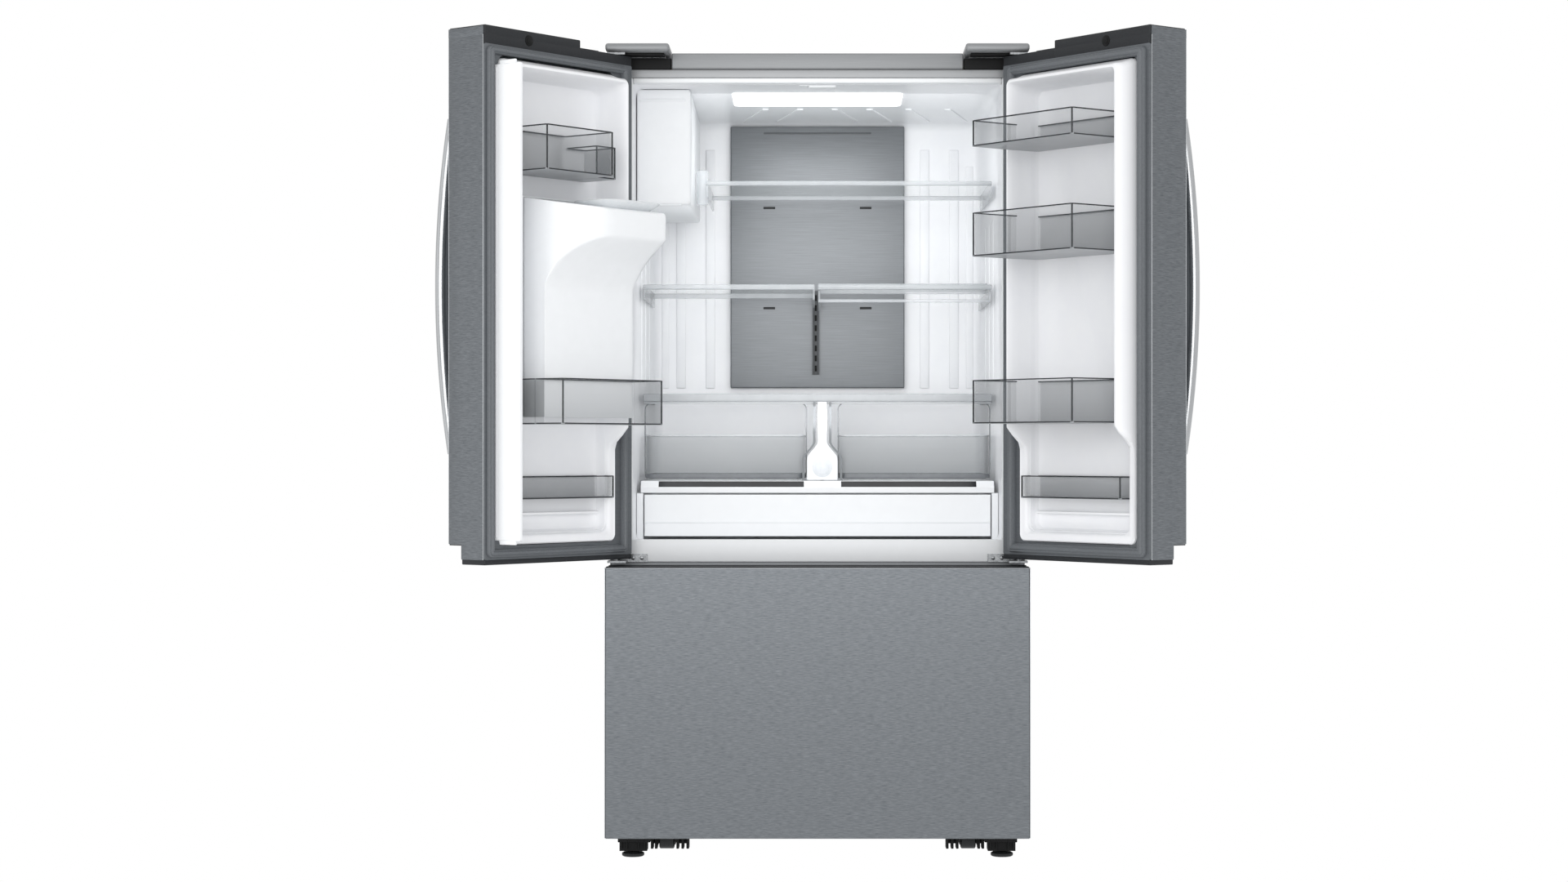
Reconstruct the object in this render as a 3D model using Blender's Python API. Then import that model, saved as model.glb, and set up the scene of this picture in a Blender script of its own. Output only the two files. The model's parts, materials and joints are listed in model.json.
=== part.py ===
"""French door refrigerator with a bottom freezer drawer, doors standing open.

Metres, +Z up, +X to the right of someone facing the front, +Y towards the back.
All shapes are drawn in cabinet coordinates: Y is measured back from the front plane of
the freezer drawer, Z from the floor, and the doors are drawn shut. Each moving piece hangs
from an empty on its joint's axis, and the door empties are then turned open. The cabinet
empty puts the origin under the middle of the whole open object.
"""
import math

import bmesh
import bpy
from mathutils import Vector

# ---- driving dimensions -------------------------------------------------------------
WIDTH = 0.908            # across the drawer front and the closed doors
HALF = WIDTH / 2
DEPTH = 0.860            # drawer front to back panel
CABINET_HALF = 0.450     # the cabinet is a little narrower, so that the doors can swing past it
CABINET_FRONT = 0.1155
SHEET = 0.0015           # steel sheet
FIT = 0.0003             # space between pieces that touch
FRONT_Y = -0.268         # the drawer's front plane in the part's own frame

BASE_Z = 0.054
TOP_Z = 1.733            # cabinet top sheet
RAIL_Z = 1.7434          # front rail over it

DOOR_GAP = 0.005
DOOR_WIDTH = HALF - DOOR_GAP / 2
DOOR_THICK = 0.103
DOOR_Z = (0.6485, 1.748)
DOOR_LEDGE_Z = 1.729     # lower end cap at the hinge side
DOOR_SKIN_Z = (0.688, 1.728)
DOOR_STEP = 0.0365       # the front part of the door ends higher than the rest
DOOR_OPEN = math.radians(127.7)
PIN_X, PIN_Y = 0.434, 0.075
PIN_R, BORE_R = 0.005, 0.0054

FRIDGE_OPEN = (0.4007, 0.688, 1.6906)     # half width, floor and top of the opening
FREEZER_OPEN = (0.403, 0.100, 0.600)
LINER_FRONT, LINER_BACK = 0.1366, 0.7425
LINER_BACK_HALF = 0.3885
FREEZER_BACK = 0.600
MACHINE_BAY = ((-0.430, 0.430), (0.640, 0.870), (0.040, 0.330))

DRAWER_Z = (0.054, 0.634)
SHELF_Y = (0.275, 0.660)
HANDLE_Z = (0.860, 1.580)


# ---- tools --------------------------------------------------------------------------
def finish(name, colour, roughness, metallic=0.0):
    """A plain material: base colour, roughness and metallic value."""
    made = bpy.data.materials.new(name)
    made.use_nodes = True
    shader = made.node_tree.nodes["Principled BSDF"]
    shader.inputs["Base Color"].default_value = (*colour, 1.0)
    shader.inputs["Roughness"].default_value = roughness
    shader.inputs["Metallic"].default_value = metallic
    return made


def as_mesh(shape):
    """Closes a bmesh into a mesh with its faces pointing outwards."""
    bmesh.ops.recalc_face_normals(shape, faces=shape.faces)
    mesh = bpy.data.meshes.new("shape")
    shape.to_mesh(mesh)
    shape.free()
    return mesh


def box(x, y, z):
    """A block given by its low and high values along each axis."""
    shape = bmesh.new()
    bmesh.ops.create_cube(shape, size=1.0)
    for vertex in shape.verts:
        vertex.co = [span[0] if c < 0 else span[1] for c, span in zip(vertex.co, (x, y, z))]
    return as_mesh(shape)


def prism(outline, axis, span):
    """An outline in the two other axes, extruded along one axis."""
    shape = bmesh.new()
    corners = []
    for a, b in outline:
        point = [a, b]
        point.insert(axis, span[0])
        corners.append(shape.verts.new(point))
    face = shape.faces.new(corners)
    grown = bmesh.ops.extrude_face_region(shape, geom=[face])
    for item in grown["geom"]:
        if isinstance(item, bmesh.types.BMVert):
            item.co[axis] = span[1]
    return as_mesh(shape)


def taper(near, near_y, far, far_y):
    """A block between two upright rectangles (x low, x high, z low, z high)."""
    shape = bmesh.new()
    rings = []
    for (x0, x1, z0, z1), y in ((near, near_y), (far, far_y)):
        corners = ((x0, z0), (x1, z0), (x1, z1), (x0, z1))
        rings.append([shape.verts.new((x, y, z)) for x, z in corners])
    skin(shape, rings)
    return as_mesh(shape)


def skin(shape, rings):
    """Covers a row of rings with quads and closes both ends."""
    count = len(rings[0])
    for ring, following in zip(rings, rings[1:]):
        for n in range(count):
            m = (n + 1) % count
            shape.faces.new((ring[n], ring[m], following[m], following[n]))
    shape.faces.new(rings[0])
    shape.faces.new(rings[-1])


def turned(profile, centre, axis, sides=20):
    """A turned piece: (radius, distance along the axis) pairs, from a centre."""
    shape = bmesh.new()
    rings = []
    for radius, along in profile:
        ring = []
        for n in range(sides):
            angle = 2 * math.pi * n / sides
            point = [radius * math.cos(angle), radius * math.sin(angle)]
            point.insert(axis, along)
            ring.append(shape.verts.new(Vector(point) + Vector(centre)))
        rings.append(ring)
    skin(shape, rings)
    return as_mesh(shape)


def rod(centre, axis, radius, span, sides=16):
    """A round bar between two distances along an axis through a centre."""
    return turned(((radius, span[0]), (radius, span[1])), centre, axis, sides)


def empty(name, place, parent=None, turn=0.0):
    """A joint's empty, at a place in cabinet coordinates."""
    made = bpy.data.objects.new(name, None)
    bpy.context.scene.collection.objects.link(made)
    made["place"] = place
    origin = Vector(parent["place"]) if parent else Vector((0.0, 0.0, 0.0))
    made.parent = parent
    made.location = Vector(place) - origin
    made.rotation_euler.z = turn
    return made


def put(name, mesh, parent):
    """Links a shape drawn in cabinet coordinates under its empty."""
    made = bpy.data.objects.new(name, mesh)
    bpy.context.scene.collection.objects.link(made)
    made.parent = parent
    made.location = -Vector(parent["place"])
    return made


def solid(name, mesh, material, parent, joins=(), cuts=(), bevel=0.0):
    """One sub-part: a first shape, with others joined to it and then others cut from it."""
    part = put(name, mesh, parent)
    part.data.materials.append(material)
    for shape in joins:
        combine(part, shape, "UNION")
    for shape in cuts:
        combine(part, shape, "DIFFERENCE")
    if bevel:
        edge = part.modifiers.new("rounded edges", "BEVEL")
        edge.width = bevel
        edge.segments = 2
        edge.limit_method = "ANGLE"
    return part


def combine(part, mesh, operation):
    """Joins a shape to a part, or cuts it away."""
    helper = put(f"{part.name}_{operation.lower()}", mesh, part.parent)
    helper.hide_render = True
    helper.display_type = "WIRE"
    step = part.modifiers.new(operation.lower(), "BOOLEAN")
    step.operation = operation
    step.solver = "EXACT"
    step.object = helper


def grow(span, by):
    """A span made longer by the same amount at both ends."""
    return span[0] - by, span[1] + by


def across(side, near, far):
    """An X span on the left (-1) or right (1), from distances off the centre plane."""
    return tuple(sorted((side * near, side * far)))


def door_x(side, near, far):
    """An X span on a closed door, from distances off its free edge."""
    return across(side, DOOR_GAP / 2 + near, DOOR_GAP / 2 + far)


def liner_half(y):
    """Half the inside width of the fresh food liner, which narrows towards the back."""
    part = (y - LINER_FRONT) / (LINER_BACK - LINER_FRONT)
    return FRIDGE_OPEN[0] + part * (LINER_BACK_HALF - FRIDGE_OPEN[0])


# ---- cabinet ------------------------------------------------------------------------
def make_cabinet(cabinet, paint, white, foam_yellow, grille):
    inner = CABINET_HALF - SHEET
    filled = inner - FIT
    far = DEPTH - SHEET - FIT
    wide = (-filled, filled)
    vent = ((-0.4305, 0.4305), (0.850, 0.870), (0.0595, 0.3305))

    solid("cabinet_shell", box((-CABINET_HALF, CABINET_HALF), (CABINET_FRONT, DEPTH), (BASE_Z, TOP_Z)),
          paint, cabinet, cuts=[
              box((-inner, inner), (0.0, DEPTH - SHEET), (0.0, TOP_Z - SHEET)),
              box((-0.3175, 0.3175), (0.0, 0.1368), (1.700, 1.800)),
              box(*vent)])
    rear_forks = [box(across(side, x, x + 0.002), (0.782, 0.818), (0.012, BASE_Z + 0.001))
                  for side in (-1, 1) for x in (0.3695, 0.3985)]
    axle_holes = [rod((side * 0.385, 0.800, 0.020), 0, 0.0034, (-0.03, 0.03)) for side in (-1, 1)]
    solid("base_plate", box(wide, (CABINET_FRONT, far), (BASE_Z, BASE_Z + 0.002)),
          paint, cabinet, joins=rear_forks, cuts=axle_holes)

    half, floor, top = FRIDGE_OPEN
    cold_half, cold_floor, cold_top = FREEZER_OPEN
    solid("front_frame", box(wide, (CABINET_FRONT, 0.1363), (0.0563, 1.7312)), white, cabinet,
          joins=[box((-0.317, 0.317), (0.109, 0.1363), (1.7085, RAIL_Z))],
          cuts=[box((-half, half), (0.0, 0.2), (floor, top)),
                box((-cold_half, cold_half), (0.0, 0.2), (cold_floor, cold_top))])

    wall = 0.002
    flange_y = (LINER_FRONT, LINER_FRONT + wall)
    front = (-half, half, 0.683, 1.679)
    back = (-LINER_BACK_HALF, LINER_BACK_HALF, 0.683, 1.663)
    thick = [(r[0] - wall, r[1] + wall, r[2] - wall, r[3] + wall) for r in (front, back)]
    clear = [(r[0] - FIT, r[1] + FIT, r[2] - FIT, r[3] + FIT) for r in thick]
    solid("fridge_liner", taper(thick[0], LINER_FRONT, thick[1], LINER_BACK + wall), white, cabinet,
          joins=[box((-0.430, 0.430), flange_y, (0.660, 1.705))],
          cuts=[taper(front, LINER_FRONT - 0.01, back, LINER_BACK)])
    solid("freezer_liner", box((-0.405, 0.405), (LINER_FRONT, FREEZER_BACK + wall), (0.098, 0.602)),
          white, cabinet, joins=[box((-0.430, 0.430), flange_y, (0.075, 0.620))],
          cuts=[box((-cold_half, cold_half), (0.0, FREEZER_BACK), (cold_floor, cold_top))])
    solid("cabinet_foam", box(wide, (0.139, far), (0.0563, 1.7312)), foam_yellow, cabinet,
          cuts=[taper(clear[0], 0.1366, clear[1], LINER_BACK + wall + FIT),
                box((-0.4053, 0.4053), (0.0, FREEZER_BACK + wall + FIT), (0.0977, 0.6023)),
                box(*MACHINE_BAY)])

    slots = [box((-0.36, 0.36), (0.850, 0.870), (z, z + 0.010))
             for z in (0.10 + 0.030 * n for n in range(7))]
    solid("machine_cover", box((-0.430, 0.430), (DEPTH - SHEET, DEPTH), (0.060, 0.330)),
          grille, cabinet, cuts=slots)


def make_machine_room(cabinet, black, copper):
    """Compressor, condenser tube and fan behind the freezer."""
    floor = BASE_Z + 0.0023
    solid("compressor", turned(((0.060, 0.0), (0.060, 0.012), (0.082, 0.016), (0.086, 0.070),
                                (0.082, 0.130), (0.060, 0.165), (0.020, 0.178)),
                               (-0.24, 0.745, floor), 2), black, cabinet)
    route = bpy.data.curves.new("condenser", "CURVE")
    route.dimensions = "3D"
    line = route.splines.new("POLY")
    points = []
    for level in range(7):
        z = 0.085 + 0.030 * level
        ends = (0.20, 0.40) if level % 2 == 0 else (0.40, 0.20)
        points += [(x, 0.700, z) for x in ends]
    line.points.add(len(points) - 1)
    for point, place in zip(line.points, points):
        point.co = (*place, 1.0)
    route.bevel_depth = 0.004
    route.bevel_resolution = 2
    route.use_fill_caps = True
    put("condenser_coil", route, cabinet)
    route.materials.append(copper)
    hub = (0.05, 0.715, 0.180)
    spinner = empty("fan_axis", hub, cabinet)
    blades = []
    for n in range(4):
        blade = box((0.010, 0.075), (-0.002, 0.002), (-0.018, 0.018))
        for vertex in blade.vertices:
            x, y, z = vertex.co
            y += 0.5 * z
            turn = math.pi / 2 * n
            vertex.co = (x * math.cos(turn) - z * math.sin(turn) + hub[0], y + hub[1],
                         x * math.sin(turn) + z * math.cos(turn) + hub[2])
        blades.append(blade)
    solid("condenser_fan", rod(hub, 1, 0.018, (-0.015, 0.015)), black, spinner, joins=blades)


def make_hinges(cabinet, plated, grey_plastic):
    """Top and centre hinges with their pins, and the covers over the top ones."""
    for side, word in ((-1, "left"), (1, "right")):
        pin = (side * PIN_X, PIN_Y, 0.0)
        plate_z = (TOP_Z + FIT, TOP_Z + 0.005)
        solid(f"top_hinge_{word}", box(across(side, 0.330, 0.4475), (0.110, 0.235), plate_z),
              plated, cabinet,
              joins=[box(across(side, 0.414, 0.452), (0.055, 0.130), plate_z),
                     rod(pin, 2, PIN_R, (1.702, TOP_Z + 0.003))])
        solid(f"hinge_cover_{word}", box(across(side, 0.318, 0.456), (0.040, 0.250), (1.7385, 1.756)),
              grey_plastic, cabinet, bevel=0.004)
        solid(f"centre_hinge_{word}", box(across(side, 0.369, 0.4475), (0.1105, 0.1152), (0.6398, 0.6574)),
              plated, cabinet,
              joins=[box(across(side, 0.412, 0.452), (0.055, 0.112), (0.6398, 0.6445)),
                     rod(pin, 2, PIN_R, (0.642, 0.665))])


# ---- fresh food interior --------------------------------------------------------------
def make_interior(cabinet, white, glass, brushed, lamp_white):
    solid("rear_duct_panel", box((-0.208, 0.208), (0.722, 0.7422), (1.030, 1.655)), brushed, cabinet,
          cuts=[box(across(side, 0.101, 0.129), (0.70, 0.730), (z, z + 0.008))
                for side in (-1, 1) for z in (1.217, 1.456)], bevel=0.003)
    solid("ceiling_lamp", prism(((0.26, 1.665), (0.45, 1.660), (0.45, 1.6702), (0.26, 1.6752)),
                                0, (-0.19, 0.19)), lamp_white, cabinet)
    solid("ice_maker_housing", taper((-0.3985, -0.279, 1.4225, 1.6765), 0.200,
                                     (-0.3887, -0.279, 1.4225, 1.6635), 0.700), white, cabinet,
          cuts=[box((-0.350, -0.300), (0.215, 0.290), (1.40, 1.520))], bevel=0.004)

    front, back = SHELF_Y
    edge = [liner_half(y) - 0.001 for y in (front, back)]
    solid("top_shelf", taper((-0.250, edge[0], 1.472, 1.482), front,
                             (-0.250, edge[1], 1.472, 1.482), back), glass, cabinet)
    solid("left_shelf", taper((-edge[0], -0.005, 1.240, 1.252), front,
                              (-edge[1], -0.005, 1.240, 1.252), back), glass, cabinet)
    runners = [box(x, (0.290, back), (1.212, 1.2385)) for x in ((0.001, 0.011), (0.3785, 0.3885))]
    posts = [box(x, (0.651, back), (1.212, 1.2645)) for x in ((0.001, 0.011), (0.3785, 0.3885))]
    solid("right_shelf_rear", box((0.001, 0.3885), (0.450, back), (1.2545, 1.2645)), glass, cabinet,
          joins=runners + posts + [box((0.001, 0.3885), (0.651, back), (1.212, 1.222))])
    slide = empty("right_shelf_travel", (0.195, front, 1.246), cabinet)
    solid("right_shelf_slide", box((0.001, 0.3885), (front, 0.468), (1.240, 1.252)), glass, slide)

    solid("crisper_cover", taper((-edge[0], edge[0], 0.991, 1.008), 0.270,
                                 (-edge[1], edge[1], 0.991, 1.008), back), glass, cabinet,
          joins=[box((0.0057, 0.0157), (0.277, back), (0.816, 0.992))])
    solid("pantry_cover", taper((-edge[0], edge[0], 0.788, 0.8148), 0.215,
                                (-edge[1], edge[1], 0.788, 0.8148), back), white, cabinet)


def make_tub(name, x, y, z, wall, material, parent):
    """An open topped drawer or bin with walls of one thickness."""
    hollow = box(grow(x, -wall), grow(y, -wall), (z[0] + wall, z[1] + 0.05))
    return solid(name, box(x, y, z), material, parent, cuts=[hollow])


def make_drawers(cabinet, clear):
    for name, x in (("crisper_left", (-0.384, 0.003)), ("crisper_right", (0.0185, 0.384))):
        travel = empty(f"{name}_travel", (sum(x) / 2, 0.275, 0.87), cabinet)
        make_tub(name, x, (0.275, 0.650), (0.820, 0.928), 0.004, clear, travel)
    travel = empty("pantry_travel", (0.0, 0.200, 0.74), cabinet)
    make_tub("pantry_drawer", (-0.381, 0.381), (0.200, 0.640), (0.6926, 0.7848), 0.004, clear, travel)


# ---- freezer drawer -------------------------------------------------------------------
def make_freezer(cabinet, steel, white, gasket_grey, plated):
    slide = empty("freezer_travel", (0.0, 0.0, 0.34), cabinet)
    low, high = DRAWER_Z
    grip = box((-0.440, 0.440), (0.035, 0.080), (0.595, 0.650))
    solid("freezer_skin", box((-HALF, HALF), (0.0, 0.0915), DRAWER_Z), steel, slide,
          cuts=[box((-HALF + SHEET, HALF - SHEET), (SHEET, 0.2), (low + SHEET, high - SHEET)),
                box((-0.440, 0.440), (0.035, 0.2), (0.620, 0.650))])
    fill = SHEET + FIT
    solid("freezer_door_liner", box((-HALF + fill, HALF - fill), (fill, DOOR_THICK),
                                    (low + fill, high - fill)), white, slide, cuts=[grip])
    solid("freezer_gasket", box((-0.437, 0.437), (DOOR_THICK + FIT, 0.1145), (0.075, 0.628)),
          gasket_grey, slide,
          cuts=[box((-0.415, 0.415), (0.05, 0.2), (0.097, 0.606))])
    arms = [box(across(side, 0.366, 0.391), (DOOR_THICK + FIT, 0.565), (0.400, 0.420))
            for side in (-1, 1)]
    solid("freezer_basket", box((-0.370, 0.370), (0.150, 0.565), (0.130, 0.450)), white, slide,
          joins=arms, cuts=[box((-0.365, 0.365), (0.155, 0.560), (0.135, 0.500))])
    for side, word in ((-1, "left"), (1, "right")):
        solid(f"freezer_slide_{word}", box(across(side, 0.3925, 0.4027), (0.140, 0.585), (0.390, 0.430)),
              plated, cabinet)


# ---- doors ----------------------------------------------------------------------------
def make_door(side, word, hinge, steel, white, gasket_grey, satin):
    """Steel skin, foamed liner, gasket and handle of one door."""
    fill = SHEET + FIT
    pin = (side * PIN_X, PIN_Y, 0.0)
    bores = [rod(pin, 2, BORE_R, (1.699, 1.760)), rod(pin, 2, BORE_R, (0.640, 0.668))]
    pocket = box(door_x(side, 0.0665, 0.376), (0.075, 0.3), (0.745, 1.647))
    skin_cuts = [box(door_x(side, SHEET, DOOR_WIDTH - SHEET), (SHEET, 0.2), (0.0, 2.0))]
    liner_cuts = [box(door_x(side, -0.01, 0.5), (-0.01, DOOR_STEP), (0.60, DOOR_SKIN_Z[0])),
                  box(door_x(side, 0.288, 0.5), (-0.01, 0.3), (DOOR_LEDGE_Z, 1.80))]
    body = box(door_x(side, fill, DOOR_WIDTH - fill), (fill, DOOR_THICK), DOOR_Z)
    ridge = box(door_x(side, 0.041, 0.390), (0.100, 0.150), (0.930, 1.662))

    if side < 0:
        window = box(door_x(side, 0.1425, 0.3435), (-0.01, 0.1105), (1.0195, 1.4005))
        skin_cuts.append(window)
    solid(f"{word}_door_skin", box(door_x(side, 0.0, DOOR_WIDTH), (0.0, 0.0915), DOOR_SKIN_Z),
          steel, hinge, cuts=skin_cuts)
    liner = solid(f"{word}_door_liner", body, white, hinge, joins=[ridge],
                  cuts=liner_cuts + [pocket] + bores)
    if side < 0:
        bulge = prism(((0.070, 0.950), (0.176, 0.950), (0.176, 1.229), (0.269, 1.320),
                       (0.269, 1.379), (0.070, 1.379)), 0, door_x(side, 0.208, 0.386))
        shoulder = box(door_x(side, 0.100, 0.300), (0.070, 0.176), (0.950, 1.395))
        combine(liner, bulge, "UNION")
        combine(liner, shoulder, "UNION")
        combine(liner, window.copy(), "DIFFERENCE")

    seal_near, seal_width = (0.006, 0.0165) if side < 0 else (0.012, 0.024)
    solid(f"{word}_door_gasket", box(door_x(side, seal_near, 0.4295), (DOOR_THICK + FIT, 0.1145),
                                     (0.664, 1.706)), gasket_grey, hinge,
          cuts=[box(door_x(side, seal_near + seal_width, 0.4025), (0.0, 0.2), (0.6865, 1.6925))])
    put(f"{word}_door_handle", bow_handle(side), hinge).data.materials.append(satin)


def bow_handle(side):
    """A bar of oval section bent in a shallow bow, its ends down on the door face."""
    centre_x = side * (DOOR_GAP / 2 + 0.035)
    middle = sum(HANDLE_Z) / 2
    half = (HANDLE_Z[1] - HANDLE_Z[0]) / 2
    rise, end_rise = 0.0395, 0.0135
    shape = bmesh.new()
    rings = []
    for n in range(17):
        part = -1 + n / 8
        out = end_rise + rise * (1 - part * part)
        ring = []
        for k in range(12):
            angle = math.pi * k / 6
            ring.append(shape.verts.new((centre_x + 0.017 * math.cos(angle),
                                         -out + 0.013 * math.sin(angle), middle + part * half)))
        rings.append(ring)
    skin(shape, rings)
    return as_mesh(shape)


def make_right_bins(hinge, clear):
    for name, y, z in (("right_bin_top", 0.257, (1.520, 1.576)), ("right_bin_middle", 0.257, (1.289, 1.382)),
                       ("right_bin_large", 0.257, (0.938, 1.030)), ("right_bin_bottom", 0.123, (0.781, 0.829))):
        make_tub(name, door_x(1, 0.068, 0.3745), (0.0755, y), z, 0.003, clear, hinge)


def make_left_bins(hinge, clear):
    wall = 0.003
    deep_x, pocket_x = door_x(-1, 0.068, 0.268), door_x(-1, 0.268 - wall, 0.330)
    solid("left_bin_top", box(deep_x, (0.0755, 0.213), (1.452, 1.545)), clear, hinge,
          joins=[box(pocket_x, (0.0755, 0.165), (1.452, 1.520))],
          cuts=[box(grow(deep_x, -wall), (0.0785, 0.210), (1.455, 1.60)),
                box(door_x(-1, 0.268, 0.330 - wall), (0.0785, 0.162), (1.455, 1.60))])
    wing_x = door_x(-1, 0.068, 0.0985)
    solid("left_bin_large", box(door_x(-1, 0.068, 0.3745), (0.1765, 0.257), (0.935, 1.029)), clear, hinge,
          joins=[box(wing_x, (0.0755, 0.1785), (0.935, 1.029))],
          cuts=[box(grow(door_x(-1, 0.068, 0.3745), -wall), (0.1795, 0.254), (0.938, 1.10)),
                box(grow(wing_x, -wall), (0.0785, 0.190), (0.938, 1.10))])
    make_tub("left_bin_bottom", door_x(-1, 0.068, 0.3745), (0.0755, 0.123), (0.781, 0.829), 0.003,
             clear, hinge)


def make_flap(hinge, white):
    """The mullion flap on the left door's free edge, folded in as it is when the door is open."""
    pivot_x = -(DOOR_GAP / 2 + 0.024)
    pivot = empty("flap_axis", (pivot_x, DOOR_THICK + 0.012, 1.18), hinge)
    solid("mullion_flap", box((pivot_x - 0.012, pivot_x), (DOOR_THICK + 0.0015, DOOR_THICK + 0.0735),
                              (0.690, 1.676)), white, pivot, bevel=0.002)


def make_dispenser(hinge, black, grey_plastic):
    """Ice and water dispenser in the left door's outer face, with its paddle."""
    well = box(door_x(-1, 0.153, 0.333), (-0.02, 0.100), (1.030, 1.300))
    nozzle_x = -(DOOR_GAP / 2 + 0.243)
    housing = solid("dispenser_housing", box(door_x(-1, 0.143, 0.343), (-0.003, 0.110), (1.020, 1.400)),
                    black, hinge, cuts=[well])
    combine(housing, rod((nozzle_x, 0.048, 0.0), 2, 0.014, (1.275, 1.302)), "UNION")
    paddle_axis = empty("paddle_axis", (nozzle_x, 0.072, 1.292), hinge)
    solid("dispenser_lever", box((nozzle_x - 0.022, nozzle_x + 0.022), (0.070, 0.074), (1.110, 1.296)),
          grey_plastic, paddle_axis)


# ---- feet and rollers -----------------------------------------------------------------
def make_feet(cabinet, black, grey_plastic, rubber):
    for side, word in ((-1, "left"), (1, "right")):
        screw = (side * 0.401, 0.130, 0.0)
        wheel = (side * 0.330, 0.180, 0.029)
        cheeks = [box(across(side, x, x + 0.002), (0.160, 0.200), (0.020, 0.052)) for x in (0.3105, 0.3475)]
        solid(f"foot_bracket_{word}", box(across(side, 0.280, 0.430), (0.118, 0.205), (0.0505, 0.0537)),
              black, cabinet,
              joins=cheeks + [box(across(side, 0.370, 0.430), (0.118, 0.160), (0.012, 0.052))],
              cuts=[rod(screw, 2, 0.0056, (0.0, 0.049)), rod(wheel, 0, 0.0034, (-0.04, 0.04))])
        leg = empty(f"leg_{word}_axis", screw, cabinet)
        solid(f"level_leg_{word}", turned(((0.022, 0.0), (0.0245, 0.002), (0.0245, 0.007), (0.010, 0.010),
                                           (0.005, 0.0105), (0.005, 0.047)), screw, 2), grey_plastic, leg)
        for name, centre, width in ((f"front_roller_{word}", wheel, 0.033),
                                    (f"rear_roller_{word}", (side * 0.385, 0.800, 0.020), 0.024)):
            axle = empty(f"{name}_axis", centre, cabinet)
            half = width / 2
            solid(name, turned(((0.003, -half - 0.003), (0.003, -half), (0.020, -half), (0.020, half),
                                (0.003, half), (0.003, half + 0.003)), centre, 0), rubber, axle)


# ---- build ----------------------------------------------------------------------------
def main():
    for old in list(bpy.data.objects):
        bpy.data.objects.remove(old)

    steel = finish("brushed stainless steel", (0.22, 0.225, 0.23), 0.35, 1.0)
    satin = finish("satin handle metal", (0.55, 0.55, 0.56), 0.3, 1.0)
    paint = finish("grey painted steel", (0.16, 0.165, 0.17), 0.5)
    white = finish("white moulded plastic", (0.85, 0.87, 0.88), 0.4)
    foam_yellow = finish("insulation foam", (0.75, 0.66, 0.38), 0.9)
    gasket_grey = finish("grey seal vinyl", (0.12, 0.125, 0.13), 0.6)
    black = finish("black plastic", (0.02, 0.02, 0.022), 0.5)
    grey_plastic = finish("grey plastic", (0.3, 0.3, 0.31), 0.5)
    plated = finish("plated steel", (0.6, 0.6, 0.58), 0.3, 1.0)
    copper = finish("copper tube", (0.5, 0.25, 0.12), 0.35, 1.0)
    glass = finish("tempered glass", (0.75, 0.82, 0.82), 0.05)
    clear = finish("clear plastic", (0.7, 0.73, 0.75), 0.1)
    lamp_white = finish("frosted lamp lens", (0.95, 0.96, 0.97), 0.5)
    rubber = finish("roller nylon", (0.05, 0.05, 0.05), 0.6)

    cabinet = empty("cabinet", (0.0, 0.0, 0.0))
    make_cabinet(cabinet, paint, white, foam_yellow, black)
    make_machine_room(cabinet, black, copper)
    make_hinges(cabinet, plated, grey_plastic)
    make_interior(cabinet, white, glass, steel, lamp_white)
    make_drawers(cabinet, clear)
    make_freezer(cabinet, steel, white, gasket_grey, plated)
    make_feet(cabinet, black, grey_plastic, rubber)
    for side, word in ((-1, "left"), (1, "right")):
        hinge = empty(f"{word}_door_axis", (side * PIN_X, PIN_Y, 1.2), cabinet, side * DOOR_OPEN)
        make_door(side, word, hinge, steel, white, gasket_grey, satin)
        if side < 0:
            make_left_bins(hinge, clear)
            make_flap(hinge, white)
            make_dispenser(hinge, black, grey_plastic)
        else:
            make_right_bins(hinge, clear)
    cabinet.location.y = FRONT_Y


main()
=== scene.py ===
import json
import math

import bpy
import numpy as np
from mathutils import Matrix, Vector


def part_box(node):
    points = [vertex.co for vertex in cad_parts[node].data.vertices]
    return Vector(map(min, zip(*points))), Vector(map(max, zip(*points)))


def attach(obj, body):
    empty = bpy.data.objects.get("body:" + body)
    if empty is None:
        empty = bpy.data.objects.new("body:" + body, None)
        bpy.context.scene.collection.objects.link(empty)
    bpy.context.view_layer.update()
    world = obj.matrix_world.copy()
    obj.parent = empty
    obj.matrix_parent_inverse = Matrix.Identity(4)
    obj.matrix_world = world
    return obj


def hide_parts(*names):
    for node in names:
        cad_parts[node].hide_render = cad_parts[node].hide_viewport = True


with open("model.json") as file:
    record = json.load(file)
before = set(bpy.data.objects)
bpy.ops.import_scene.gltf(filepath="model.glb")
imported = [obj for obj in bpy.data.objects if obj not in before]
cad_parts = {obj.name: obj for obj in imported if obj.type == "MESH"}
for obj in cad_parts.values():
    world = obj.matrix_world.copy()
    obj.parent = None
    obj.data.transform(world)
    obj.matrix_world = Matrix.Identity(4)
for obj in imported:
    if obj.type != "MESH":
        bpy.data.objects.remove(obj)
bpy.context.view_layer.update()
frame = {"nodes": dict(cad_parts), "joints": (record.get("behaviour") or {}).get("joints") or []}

# The camera stands square on to the refrigerator at table height, 6 m in front of the freezer
# drawer, so that uprights stay parallel and both open doors show their inner sides.
front_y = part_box("freezer_skin")[0][1]
camera_data = bpy.data.cameras.new("studio_camera")
camera_data.lens = 64.93
camera_data.sensor_width = 36.0
camera_data.shift_x = -0.02135
camera_data.shift_y = 0.0054
camera = bpy.data.objects.new("studio_camera", camera_data)
bpy.context.scene.collection.objects.link(camera)
camera.location = (0.0, front_y - 6.0233, 0.884)
camera.rotation_euler = (math.pi / 2, 0.0, 0.0)
bpy.context.scene.camera = camera

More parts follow.
